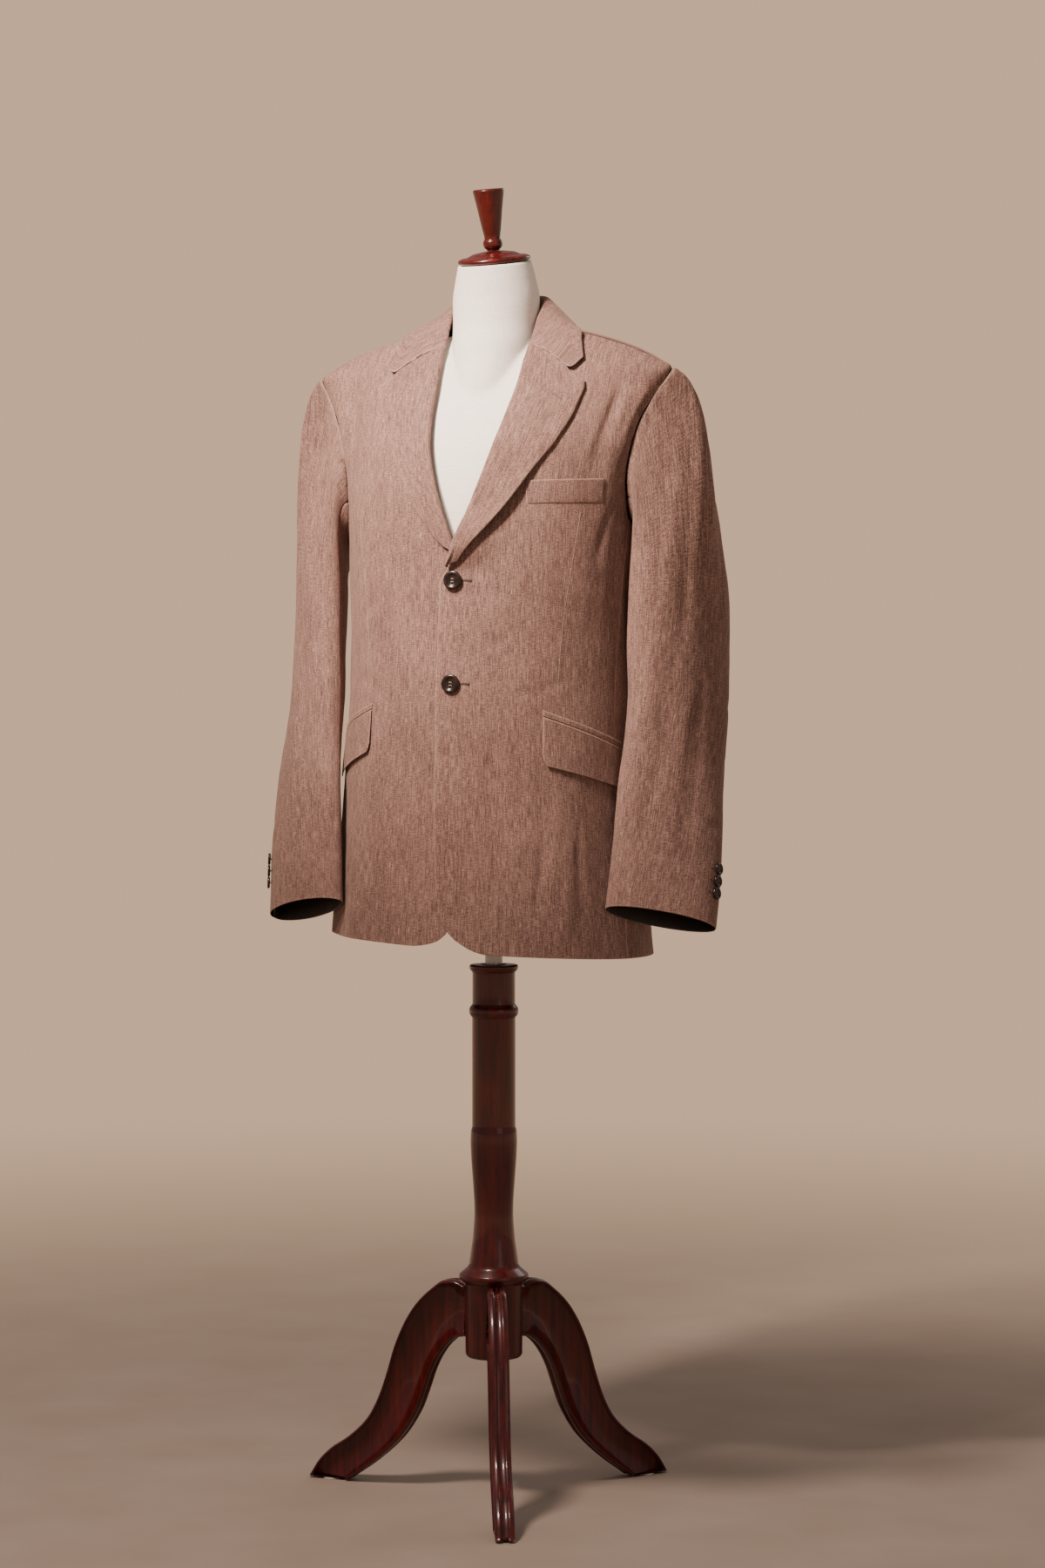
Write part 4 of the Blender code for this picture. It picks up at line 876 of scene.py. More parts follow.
def lapel_grid(table, side):
    rows = []
    for share in spread(0.29, 3 * MM):
        x, z, far_angle, far_z = read(table, share)
        angle = angle_at(x, z)
        width = np.linalg.norm(body_point(far_angle * DEG, far_z) - body_point(angle, z))
        stand = 7.0 * MM * bump((share - 0.27) / 0.30) if side > 0 else 2.0 * MM * bump((share - 0.3) / 0.3)
        rolled = ease(share / 0.13 + (0.0 if side > 0 else 0.75))
        shares = [past * (0.3 + 0.7 * rolled) * MM / width for past, _ in ROLL]
        heights = [(height + 0.7 + 2.3 * (1 - rolled)) * MM for _, height in ROLL]
        for t in LAPEL_FLAT:
            reach = 1.8 * MM / width
            t = reach + (1 - reach) * t
            shares.append(t)
            heights.append(7.0 * MM - 2.4 * MM * t + stand * t ** 1.3)
        t = np.array(shares)
        sag = LAPEL_HEAD_SAG * ease((share - 0.84) / 0.16) * np.clip(t, 0, 1) ** 2 * (1 - np.clip(t, 0, 1))
        angles = angle + (far_angle * DEG - angle) * t
        rows.append(front_point(angles, z + (far_z - z) * t - sag, np.array(heights), side))
    grid = smooth_across(np.array(rows), 46)
    across, along = arcs(grid)
    return grid, np.stack([across - across[:, 10:11], along], axis=-1)


def curved_collar_edge(share):
    _, _, angle, z = read(COLLAR, share)
    return cloth_point(angle * DEG, z, COLLAR_LIFT)


def collar_edge(share):
    """A place on the collar's outer edge, which is straight from COLLAR_STRAIGHT to its end."""
    if share > COLLAR_STRAIGHT:
        start, tip = collar_edge(COLLAR_STRAIGHT), curved_collar_edge(1.0)
        return start + (tip - start) * (share - COLLAR_STRAIGHT) / (1 - COLLAR_STRAIGHT)
    return curved_collar_edge(share)


def collar_row(share, side):
    """One section of the collar, from the foot of its stand over the fold to its outer edge."""
    neck_angle, neck_z, edge_angle, edge_z = read(COLLAR, share)
    fold = np.array(read(COLLAR_FOLD, share))
    foot = body_point(neck_angle * DEG, neck_z)
    inwards = unit(np.array([-foot[0], 0.010 - foot[1], 0]))
    up = np.array([0, 0, 1.0])
    foot = foot + inwards * 3.4 * MM + up * 0.8 * MM
    edge = collar_edge(share)
    end = ease((share - 0.84) / 0.16)
    tall = max(min((fold[2] - foot[2]) / 0.02, 1.0), 0.15)
    shoulder = fold - inwards * 3.2 * MM - up * 1.2 * MM
    middle = (foot + fold) / 2 + inwards * 0.8 * MM
    inner = fold + inwards * 2.2 * MM - up * 3.2 * MM * tall
    row = [foot, middle, inner, fold, shoulder]
    for t in (0.22, 0.45, 0.72, 1.0):
        straight_down = shoulder + (edge - shoulder) * t + up * 2.0 * MM * 4 * t * (1 - t)
        if t < 0.7:
            down, near, far = t / 0.7, GORGE, NOTCH
        else:
            down, near, far = (t - 0.7) / 0.3, NOTCH, (edge_angle, edge_z)
        angle, z = (near[k] + (far[k] - near[k]) * down for k in (0, 1))
        at_end = cloth_point(angle * DEG, z, 6.4 * MM - 1.8 * MM * t) if t < 1 else edge
        row.append(straight_down + (at_end - straight_down) * end)
    return np.array(row) * (side, 1, 1)


def collar_grid():
    shares = spread(0.23, 4 * MM)
    shares = np.concatenate([np.linspace(0, shares[8], 9)[:-1], shares[8:]])
    rows = [collar_row(share, -1) for share in shares[::-1]] + [collar_row(share, 1) for share in shares[1:]]
    grid = smooth_across(np.array(rows), 40)
    across, along = arcs(grid)
    return grid, np.stack([along, across], axis=-1)


# ---------------------------------------------------------------- laid pieces

def laid_grid(corners, side, out, height, width, corner=0.0):
    """A small piece on a panel; `corner` rounds its lower corners."""
    v, u = spread(height, 4 * MM)[:, None], spread(width, 4 * MM)[None, :]
    t = u - corner * (1 - np.minimum(v / 0.24, 1.0)) ** 2 * (2 * u - 1) * np.abs(2 * u - 1) ** 3
    foot = [corners[0][k] + (corners[1][k] - corners[0][k]) * t for k in (0, 1)]
    head = [corners[3][k] + (corners[2][k] - corners[3][k]) * t for k in (0, 1)]
    angle, z = (a + (b - a) * v for a, b in zip(foot, head))
    return front_point(angle * DEG, z, out(v) + 0 * u, side), body_grain(angle * DEG, z, side)


def form_point(angle, z):
    """Points of the form: the body under the blazer and the neck, whichever stands further out."""
    angle, z = together(angle, z)
    neck_half, neck_front, neck_back, neck_y = read(NECK, z)
    c, s = np.cos(angle), np.sin(angle)
    depth = np.where(c > 0, neck_front, neck_back)
    neck = np.where(z >= NECK[0][0], 1 / np.sqrt((s / neck_half) ** 2 + (c / depth) ** 2), 0.0)
    lower = FORM_LOWER * (ease((z - 1.34) / 0.05) + ease((z - 1.41) / 0.03))
    half, front, back, side_y, _ = read(BODY, z + lower)
    sides, before, behind = read(EASE, z)
    half = np.maximum(half - sides, 1e-4)
    depth = np.maximum(np.where(c > 0, front + side_y - before, back - side_y - behind), 1e-4)
    body = np.where(z < 1.474, 1 / np.sqrt((s / half) ** 2 + (c / depth) ** 2), 0.0)
    body = body * (1 - 0.75 * ease((z - 1.438) / 0.036))
    out = (neck ** 28 + body ** 28) ** (1 / 28)
    middle = read(BODY, z)[3]
    middle = middle + (neck_y - middle) * ease((z - 1.435) / 0.035)
    x, y = out * s, middle - out * c
    tip = ease((z - 1.46) / 0.081)
    return np.stack([x, y, z - tip * (CAP_LEAN[0] * x + CAP_LEAN[1] * (y - middle))], axis=-1)


# ---------------------------------------------------------------- meshes

def grid_normals(grid, flip=False):
    return unit(np.cross(np.gradient(grid, axis=1), np.gradient(grid, axis=0))) * (-1 if flip else 1)


def arcs(grid):
    """Lengths run along the rows and along the columns of a grid, in metres."""
    across = np.zeros(grid.shape[:2])
    across[:, 1:] = np.cumsum(np.linalg.norm(np.diff(grid, axis=1), axis=-1), axis=1)
    along = np.zeros(grid.shape[:2])
    along[1:] = np.cumsum(np.linalg.norm(np.diff(grid, axis=0), axis=-1), axis=0)
    return across, along


def add_piece(name, points, faces, looks, body, replaces=(), slot=None):
    """A named mesh, its points given with the stand's axis as Z, moved to its place and riding on a body."""
    mesh = bpy.data.meshes.new(name)
    mesh.from_pydata((np.asarray(points, float) + AXIS).tolist(), [], faces)
    for look in looks:
        mesh.materials.append(look)
    mesh.validate()
    mesh.shade_smooth()
    made = bpy.data.objects.new(name, mesh)
    bpy.context.scene.collection.objects.link(made)
    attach(made, body)
    if replaces:
        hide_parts(*replaces)
    return made


def quads(rows, columns, start=0, closed=False):
    """Faces of a grid of points, its last column joined to its first where it is closed."""
    i, j = np.meshgrid(np.arange(rows - 1), np.arange(columns if closed else columns - 1), indexing="ij")
    a = start + i * columns + j
    b = start + i * columns + (j + 1) % columns
    return np.stack([a, b, b + columns, a + columns], axis=-1).reshape(-1, 4)


def add_cloth(name, sheet, wall, out=0.0, flip=False, seams=(0, 0, 0, 0), looks=("linen", "linen"),
              body="form", replaces=None):
    """A thin wall of cloth with rounded rims, its sewn edges drawn in.

    seams: how far the left, right, foot and head edges are drawn in, in mm.
    """
    grid, grain = sheet
    normals = grid_normals(grid, flip)
    across, along = arcs(grid)
    edges = (across, across[:, -1:] - across, along, along[-1:] - along)
    dip = sum(mm * MM * np.clip(1 - d / SEAM_REACH, 0, 1) ** 2 for d, mm in zip(edges, seams))
    rim = np.ones(grid.shape[:2])
    rim[1:-1, 1:-1] = 0
    skin = grid + normals * (out - dip - 0.30 * wall * rim)[..., None]
    back = grid + normals * (out - wall - dip * 0.5 + 0.30 * wall * rim)[..., None]
    rows, columns = grid.shape[:2]
    count = rows * columns
    outer = quads(rows, columns)
    inner = quads(rows, columns, count)[:, ::-1]
    ring = list(range(columns)) + [i * columns + columns - 1 for i in range(1, rows)]
    ring += [(rows - 1) * columns + j for j in range(columns - 2, -1, -1)]
    ring = np.array(ring + [i * columns for i in range(rows - 2, 0, -1)])
    follow = np.roll(ring, -1)
    wall_faces = np.stack([follow, ring, ring + count, follow + count], axis=-1)
    faces = np.concatenate([outer, inner, wall_faces])
    if flip:
        faces = faces[:, ::-1]
    points = np.concatenate([skin.reshape(-1, 3), back.reshape(-1, 3)])
    made = add_piece(name, points, faces.tolist(), [finish(look) for look in looks], body,
                     (name,) if replaces is None else replaces, "linen")
    mesh = made.data
    if looks[0] != looks[1]:
        index = np.zeros(len(faces), int)
        index[len(outer):len(outer) + len(inner)] = 1
        mesh.polygons.foreach_set("material_index", index)
    # Every piece is cut elsewhere in the roll.
    grain = grain + 0.37 * (sum(ord(letter) for letter in name) % 17)
    grain = np.concatenate([grain.reshape(-1, 2)] * 2)
    corners = np.empty(len(mesh.loops), int)
    mesh.loops.foreach_get("vertex_index", corners)
    mesh.uv_layers.new(name="Grain").data.foreach_set("uv", grain[corners].ravel())
    # How much each edge is lightened in the linen: partly rubbed wear, partly a painted highlight along it.
    edge = np.maximum.reduce([np.clip(1 - d / RUB_AND_HIGHLIGHT_REACH, 0, 1) for d in edges])
    edge = np.concatenate([edge.ravel()] * 2)
    mesh.attributes.new("EdgeWearAndHighlight", "FLOAT", "POINT").data.foreach_set("value", edge)


def soften(profile, most=0.0012):
    """A turner's profile with every corner rounded off a little."""
    points = [np.array(p) for p in profile]
    found = [points[0]]
    for before, here, after in zip(points, points[1:], points[2:]):
        down, on = before - here, after - here
        cut = min(most, 0.42 * np.linalg.norm(down), 0.42 * np.linalg.norm(on))
        a, b = here + unit(down) * cut, here + unit(on) * cut
        found += [(1 - t) ** 2 * a + 2 * t * (1 - t) * here + t * t * b for t in (0, 0.33, 0.67, 1)]
    return found + [points[-1]]


def placed(points, frame_at):
    """Points given in a frame, in the stand's own coordinates."""
    place = np.array(frame_at)
    return np.asarray(points) @ place[:3, :3].T + place[:3, 3]


def turned(profile, steps, frame_at):
    """Points and faces of a solid turned about the Z of a frame from (radius, height) rows, top to bottom."""
    rows = np.array(profile)
    turns = np.arange(steps) * 2 * math.pi / steps
    ring = np.stack([np.cos(turns), np.sin(turns)], axis=-1)
    heights = np.repeat(rows[:, None, 1:], steps, axis=1)
    points = np.concatenate([rows[:, None, :1] * ring[None], heights], axis=-1)
    faces = quads(len(rows), steps, closed=True)[:, ::-1]
    return placed(points.reshape(-1, 3), frame_at), faces


def add_turned(name, profile, look, body, steps=96, frame_at=None, most=0.0012, **named):
    points, faces = turned(soften(profile, most), steps, Matrix() if frame_at is None else frame_at)
    made = add_piece(name, points, faces.tolist(), [finish(look)], body, **named)
    tidy = bmesh.new()
    tidy.from_mesh(made.data)
    bmesh.ops.remove_doubles(tidy, verts=tidy.verts, dist=1e-6)
    tidy.to_mesh(made.data)
    tidy.free()


def stand_at(centre, outward, up=(0, 0, 1)):
    """A frame at a place with Z pointing outward and Y as near `up` as it goes."""
    z = Vector(outward).normalized()
    x = Vector(up).cross(z).normalized()
    found = Matrix((x, z.cross(x), z)).transposed().to_4x4()
    found.translation = Vector(centre)
    return found


def strands(name, runs, look, body, sides=6, **named):
    """One mesh of small round threads; each run is its points and radius in metres."""
    points, faces, start = [], [], 0
    for path, radius in runs:
        path = np.asarray(path, float)
        ahead = unit(np.gradient(path, axis=0))
        spare = np.array([0.31, 0.17, 0.93])
        if abs(ahead[0] @ spare) >= 0.9:
            spare = np.array([1.0, 0, 0])
        first = unit(np.cross(ahead, spare))
        second = np.cross(ahead, first)
        turns = np.arange(sides) * 2 * math.pi / sides
        taper = np.ones(len(path))
        taper[[0, -1]] = 0.45
        rings = path[:, None] + radius * taper[:, None, None] * (
            np.cos(turns)[None, :, None] * first[:, None] + np.sin(turns)[None, :, None] * second[:, None])
        points.append(rings.reshape(-1, 3))
        faces += quads(len(path), sides, start, closed=True).tolist()
        faces += [list(range(start + sides - 1, start - 1, -1)),
                  list(range(start + (len(path) - 1) * sides, start + len(path) * sides))]
        start += len(path) * sides
    add_piece(name, np.concatenate(points), faces, [finish(look)], body, **named)


# ---------------------------------------------------------------- finishes

def add_node(tree, kind, settings=None, inputs=None, out=0):
    """Adds one node with its settings and inputs, a value or a socket each, and gives its output."""
    made = tree.nodes.new(kind)
    for key, value in (settings or {}).items():
        setattr(made, key, value)
    for key, value in (inputs or {}).items():
        if isinstance(value, bpy.types.NodeSocket):
            tree.links.new(value, made.inputs[key])
        else:
            made.inputs[key].default_value = value
    return made.outputs[out]


def scaled(tree, vector, across, along, third=1.0):
    """A pattern's coordinates, from metres to repeats of the given size in mm."""
    sizes = (1000 / across, 1000 / along, 1000 / third)
    return add_node(tree, "ShaderNodeVectorMath", {"operation": "MULTIPLY"}, {0: vector, 1: sizes})


def clouds(tree, vector, detail=2.0, low=0.3, high=0.7, flat=True, rough=0.5):
    """Noise stretched to fill 0 to 1."""
    value = add_node(tree, "ShaderNodeTexNoise", {"noise_dimensions": "2D" if flat else "3D"},
                     {"Vector": vector, "Scale": 1.0, "Detail": detail, "Roughness": rough})
    return add_node(tree, "ShaderNodeMapRange", None, {0: value, 1: low, 2: high})


def mixed(tree, share, first, second):
    return add_node(tree, "ShaderNodeMix", {"data_type": "RGBA"}, {0: share, 6: first, 7: second}, 2)


def summed(tree, *weighted):
    """The weighted sum of values."""
    total = 0.0
    for value, weight in weighted:
        inputs = {0: value, 1: weight, 2: total}
        total = add_node(tree, "ShaderNodeMath", {"operation": "MULTIPLY_ADD"}, inputs)
    return total


def new_finish(name, **surface):
    """A material with its shader's constants set on the shader's own sockets."""
    made = bpy.data.materials.new(name)
    made.use_nodes = True
    tree = made.node_tree
    shader = tree.nodes["Principled BSDF"]
    for key, value in surface.items():
        shader.inputs[key.replace("_", " ").title().replace("Ior", "IOR")].default_value = value
    return made, tree, shader


def give_looks(tree, shader, colour, height=None, strength=0.0, distance=0.0):
    """Gives a shader its colour and, where there is a height, its bumps."""
    tree.links.new(colour, shader.inputs["Base Color"])
    if height is not None:
        bumps = {"Strength": strength, "Distance": distance, "Height": height}
        tree.links.new(add_node(tree, "ShaderNodeBump", None, bumps), shader.inputs["Normal"])


def along_grain(tree):
    """Metres across the yarns of a sheet and along them."""
    return add_node(tree, "ShaderNodeUVMap", {"uv_map": "Grain"})


def in_piece(tree):
    """A piece's own coordinates in metres."""
    return add_node(tree, "ShaderNodeTexCoord", None, None, 3)


def linen():
    """Plain-woven linen of dark, middle and pale yarns: matt, streaked down its warp by thick and thin ones.

    The yarns are about 0.6 mm apart, too fine to show, so the finest streaks are drawn about 1 mm wide.
    """
    made, tree, shader = new_finish("Slubbed yarn-dyed linen", roughness=0.88, specular_ior_level=0.22,
                                    sheen_weight=0.16, sheen_roughness=0.45)
    shader.inputs["Sheen Tint"].default_value = linear("#E8CDBE")
    grain = along_grain(tree)
    yarn = clouds(tree, scaled(tree, grain, 1.0, 15), 2.0, 0.30, 0.70, rough=0.55)
    thick = clouds(tree, scaled(tree, grain, 2.0, 34), 1.0, 0.30, 0.70)
    band = clouds(tree, scaled(tree, grain, 6.0, 120), 1.0, 0.25, 0.75)
    weft = clouds(tree, scaled(tree, grain, 7.0, 1.1), 2.0, 0.30, 0.70, rough=0.55)
    nap = clouds(tree, scaled(tree, grain, 1.1, 1.2), 1.0, 0.30, 0.70)
    patchy = clouds(tree, scaled(tree, grain, 70, 110), 2.0, 0.30, 0.70)
    tone = summed(tree, (yarn, 0.27), (thick, 0.11), (band, 0.06), (weft, 0.21), (nap, 0.28), (patchy, 0.07))
    tone = add_node(tree, "ShaderNodeMapRange", None, {0: tone, 1: 0.26, 2: 0.76})
    low = mixed(tree, add_node(tree, "ShaderNodeMapRange", None, {0: tone, 1: 0.0, 2: 0.5}),
                tuple(colours().linen_dark), tuple(colours().linen_mid))
    high = mixed(tree, add_node(tree, "ShaderNodeMapRange", None, {0: tone, 1: 0.5, 2: 1.0}), low,
                 tuple(colours().linen_light))
    slub = clouds(tree, scaled(tree, grain, 2.2, 16), 1.0, 0.74, 0.84)
    fleck = clouds(tree, scaled(tree, grain, 2.0, 2.6), 1.0, 0.80, 0.86)
    colour = mixed(tree, summed(tree, (slub, 0.55)), high, tuple(colours().slub))
    colour = mixed(tree, summed(tree, (fleck, 0.6)), colour, tuple(colours().slub))
    # Edges lightened towards the slub colour: partly rubbed wear, partly a painted highlight.
    edge = add_node(tree, "ShaderNodeAttribute", {"attribute_name": "EdgeWearAndHighlight"}, None, 2)
    colour = mixed(tree, summed(tree, (edge, 0.30)), colour, tuple(colours().slub))
    height = summed(tree, (yarn, 0.4), (thick, 0.5), (weft, 0.35), (nap, 0.3), (slub, 0.9))
    give_looks(tree, shader, colour, height, 0.55, 0.00035)
    return made


def lining():
    """Viscose twill lining, calendered: near black brown with a soft satin gleam."""
    made, tree, shader = new_finish("Viscose twill lining", roughness=0.42, specular_ior_level=0.4)
    grain = along_grain(tree)
    # The twill line is 0.5 mm, drawn 2 mm apart.
    twill = clouds(tree, scaled(tree, grain, 2.0, 9.0), 1.0)
    broad = clouds(tree, scaled(tree, grain, 40, 60), 2.0)
    colour = mixed(tree, summed(tree, (twill, 0.5), (broad, 0.4)), linear("#0E0A08"), linear("#231913"))
    give_looks(tree, shader, colour, twill, 0.3, 0.0002)
    return made


def thread(name, dark, light):
    """Spun polyester sewing thread, twisted: short light and dark runs along it."""
    made, tree, shader = new_finish(name, roughness=0.6, sheen_weight=0.2)
    place = in_piece(tree)
    ply = clouds(tree, scaled(tree, place, 0.9, 0.9, 0.9), 1.0, flat=False)
    give_looks(tree, shader, mixed(tree, ply, linear(dark), linear(light)), ply, 0.5, 0.0001)
    return made


def canvas():
    """Bleached cotton canvas stretched over the form: matt off-white, threads 0.7 mm apart drawn 1.3 mm."""
    made, tree, shader = new_finish("Bleached cotton canvas", roughness=0.92, specular_ior_level=0.2,
                                    sheen_weight=0.12)
    place = in_piece(tree)
    across = clouds(tree, scaled(tree, place, 1.3, 1.3, 14.0), 1.0, flat=False)
    up = clouds(tree, scaled(tree, place, 14.0, 14.0, 1.3), 1.0, flat=False)
    stain = clouds(tree, scaled(tree, place, 120, 120, 160), 3.0, flat=False)
    weave = summed(tree, (across, 0.5), (up, 0.5))
    plain = mixed(tree, weave, linear("#DDD7CE"), linear("#F1EDE6"))
    colour = mixed(tree, summed(tree, (stain, 0.35)), plain, tuple(colours().canvas))
    give_looks(tree, shader, colour, weave, 0.35, 0.0003)
    return made


def mahogany():
    """Turned mahogany, stained and French polished: dark red brown under a clear gloss, with fine pores."""
    made, tree, shader = new_finish("Polished mahogany", roughness=0.34, specular_ior_level=0.3,
                                    coat_weight=0.45, coat_roughness=0.06)
    place = in_piece(tree)
    rings = clouds(tree, scaled(tree, place, 7.0, 7.0, 90.0), 3.0, 0.3, 0.7, False, 0.6)
    # Pores are 0.2 mm wide, drawn 1 mm.
    pores = clouds(tree, scaled(tree, place, 1.0, 1.0, 9.0), 1.0, 0.62, 0.72, False)
    tone = mixed(tree, rings, tuple(colours().wood_dark), tuple(colours().wood_light))
    colour = mixed(tree, summed(tree, (pores, 0.5)), tone, linear("#120505"))
    give_looks(tree, shader, colour, pores, 0.15, 0.0002)
    return made


def steel():
    """Drawn steel tube, brushed round and nickel plated: grey, its highlights drawn out along it."""
    made, tree, shader = new_finish("Brushed nickelled steel", metallic=1.0, roughness=0.3)
    place = in_piece(tree)
    # Brush marks are 0.1 mm apart, drawn 0.8 mm.
    brush = clouds(tree, scaled(tree, place, 30, 30, 0.8), 1.0, flat=False)
    give_looks(tree, shader, mixed(tree, brush, linear("#8E8E90"), linear("#BDBDBE")))
    rough = add_node(tree, "ShaderNodeMapRange", None, {0: brush, 3: 0.24, 4: 0.40})
    tree.links.new(rough, shader.inputs["Roughness"])
    return made


def button_resin():
    """Cast polyester button, tumbled to a gloss: near black brown, faintly clouded like horn."""
    made, tree, shader = new_finish("Cast polyester button", roughness=0.24, specular_ior_level=0.4,
                                    coat_weight=0.12, coat_roughness=0.08)
    place = in_piece(tree)
    horn = clouds(tree, scaled(tree, place, 5.0, 3.0, 5.0), 2.0, flat=False)
    fine = clouds(tree, scaled(tree, place, 0.8, 0.8, 0.8), 1.0, flat=False)
    colour = mixed(tree, horn, linear("#0B0807"), tuple(colours().button))
    give_looks(tree, shader, colour, fine, 0.05, 0.0001)
    return made


def glide_nylon():
    """Moulded nylon glide: pale, dull and a little scuffed."""
    made, tree, shader = new_finish("Moulded nylon glide", roughness=0.5)
    place = in_piece(tree)
    scuff = clouds(tree, scaled(tree, place, 2.0, 2.0, 0.6), 3.0, flat=False)
    give_looks(tree, shader, mixed(tree, scuff, linear("#B9AFA2"), linear("#D6CDC1")))
    return made


def studio_floor():
    """Painted studio board, rolled matt: warm grey with a barely seen mottle.

    Far from its middle it turns into the wall's own glow, so that no horizon shows.
    """
    made, tree, shader = new_finish("Rolled matt paint", roughness=0.85)
    place = in_piece(tree)
    mottle = clouds(tree, scaled(tree, place, 180, 180, 180), 3.0, flat=False)
    give_looks(tree, shader, mixed(tree, mottle, linear(FLOOR_MOTTLE), tuple(colours().floor)))
    far = add_node(tree, "ShaderNodeVectorMath", {"operation": "LENGTH"}, {0: place}, 1)
    share = add_node(tree, "ShaderNodeMapRange", {"interpolation_type": "SMOOTHSTEP"},
                     {0: far, 1: FLOOR_FADE[0], 2: FLOOR_FADE[1]})
    glow = add_node(tree, "ShaderNodeEmission", None, {0: linear(WALL_PAINT), 1: WALL_STRENGTH})
    either = add_node(tree, "ShaderNodeMixShader", None, {0: share, 1: shader.outputs[0], 2: glow})
    end = next(node for node in tree.nodes if node.type == "OUTPUT_MATERIAL")
    tree.links.new(either, end.inputs["Surface"])
    return made


FINISHES = {
    "linen": linen, "lining": lining, "canvas": canvas, "mahogany": mahogany, "steel": steel,
    "button": button_resin, "glide": glide_nylon, "floor": studio_floor,
    "pale thread": lambda: thread("Pale sewing thread", "#8E7466", "#CDB2A2"),
    # The dark thread is real thread on shanks and buttonholes, and also paints the shade in the slits and
    # along the flaps' tops.
    "dark thread and painted shade": lambda: thread("Dark sewing thread and painted shade", "#2B1C16", "#5A4338"),
    "seam thread": lambda: thread("Seam thread", "#7A6055", "#A88C7D"),
}


@functools.lru_cache(maxsize=None)
def finish(name):
    return FINISHES[name]()


# ---------------------------------------------------------------- pieces

SIDES = ((1, "left", SLEEVE_LEFT, LAPEL_LEFT), (-1, "right", SLEEVE_RIGHT, LAPEL_RIGHT))
LINED = ("linen", "lining")


def sew_body():
    dip = cloth().seam_dip
    for side, word, _, _ in SIDES:
        flip = side < 0
        for name, grid, seams in (("front_", front_panel(side), (0, 0.35 * dip, 0, dip)),
                                  ("side_", side_panel(side), (0.35 * dip, dip, 0, 0.4 * dip)),
                                  ("back_", back_panel(side), (0.6 * dip, dip, 0, dip))):
            add_cloth("sewn_" + name + word, grid, cloth().wall, flip=flip, seams=seams, looks=LINED,
                      replaces=(name + word,))


def sew_sleeves():
    dip = cloth().seam_dip
    for side, word, table, _ in SIDES:
        for name, first, last in (("top_sleeve_", FORE_SEAM + 0.25, HIND_SEAM - 0.25),
                                  ("under_sleeve_", HIND_SEAM + 0.25, 360 + FORE_SEAM - 0.25)):
            add_cloth("sewn_" + name + word, sleeve_grid(table, first, last, side), cloth().wall,
                      out=cloth().wall / 2, flip=side > 0, seams=(dip, dip, 2.2, 0), looks=LINED,
                      replaces=(name + word,))


def sew_lapels():
    for side, word, _, table in SIDES:
        add_cloth("sewn_lapel_" + word, lapel_grid(table, side), cloth().double_wall, flip=side < 0,
                  seams=(0, 0, 0, 0.3),
                  replaces=("lapel_" + word,))
    add_cloth("sewn_collar", collar_grid(), cloth().double_wall, seams=(0, 0, 0.2, 0.2),
              replaces=("collar",))


def flap_out(v):
    """How far a flap stands off the front, most at its foot."""
    return 2.3 * MM + 1.7 * MM * (1 - v)


def sew_pockets():
    for side, word, jet, flap in ((1, "left", JET_LEFT, FLAP_LEFT), (-1, "right", JET_RIGHT, FLAP_RIGHT)):
        add_cloth("sewn_pocket_jet_" + word, laid_grid(jet, side, lambda v: 1.9 * MM, 0.007, 0.13), 1.1 * MM,
                  flip=side < 0, seams=(0.3, 0.3, 0.4, 0.4),
                  replaces=("pocket_jet_" + word,))
        add_cloth("sewn_pocket_flap_" + word, laid_grid(flap, side, flap_out, 0.055, 0.13, 0.05), 1.4 * MM,
                  flip=side < 0, seams=(0, 0, 0, 0.5),
                  replaces=("pocket_flap_" + word,))
    welt = laid_grid(WELT, 1, lambda v: 1.3 * MM + 0.5 * MM * v, 0.031, 0.11)
    add_cloth("sewn_breast_welt", welt, 1.1 * MM, seams=(0.6, 0.6, 0.7, 0),
              replaces=("breast_welt",))


def front_frame(angle, z, out, side=1):
    """Where a front's surface is, and its directions across (towards its side seam), up and out."""
    here = front_point(angle, z, out, side)
    across = unit(front_point(angle + 0.01, z, out, side) - front_point(angle - 0.01, z, out, side))
    up = unit(front_point(angle, z + 0.001, out, side) - front_point(angle, z - 0.001, out, side))
    return here, across, up, unit(np.cross(across, up)) * side


def button_mesh(half, thick, holes, hole_half, ring):
    """Points and faces of a rimmed button with four sunk holes, its face towards +Z."""
    profile = ((0.0, 0.60), (0.46, 0.60), (0.56, 0.66), (0.66, 0.90), (0.74, 1.0), (0.84, 1.0), (0.93, 0.92),
               (0.985, 0.74), (1.0, 0.50), (0.97, 0.28), (0.86, 0.06), (0.74, 0.0), (0.0, 0.0))
    radii = np.concatenate([np.linspace(0.004, 0.46, 26), np.array([r for r, _ in profile[2:]])])
    heights = np.concatenate([np.full(26, 0.60), np.array([h for _, h in profile[2:]])])
    turns = np.arange(ring) * 2 * math.pi / ring
    x = half * radii[:, None] * np.cos(turns)
    y = half * radii[:, None] * np.sin(turns)
    z = thick * heights[:, None] + 0 * x
    for k in range(4):
        a = (k + 0.5) * math.pi / 2
        far = np.hypot(x - holes * math.cos(a), y - holes * math.sin(a))
        sunk = 1 - ease((far - hole_half * 0.86) / (hole_half * 0.3))
        z = z - np.where(radii[:, None] <= 0.461, sunk * thick * 0.52, 0)
    points = np.stack([x, y, z], axis=-1).reshape(-1, 3)
    faces = quads(len(radii), ring, closed=True)[:, ::-1].tolist()
    faces.append(list(range(ring)))
    return points, faces


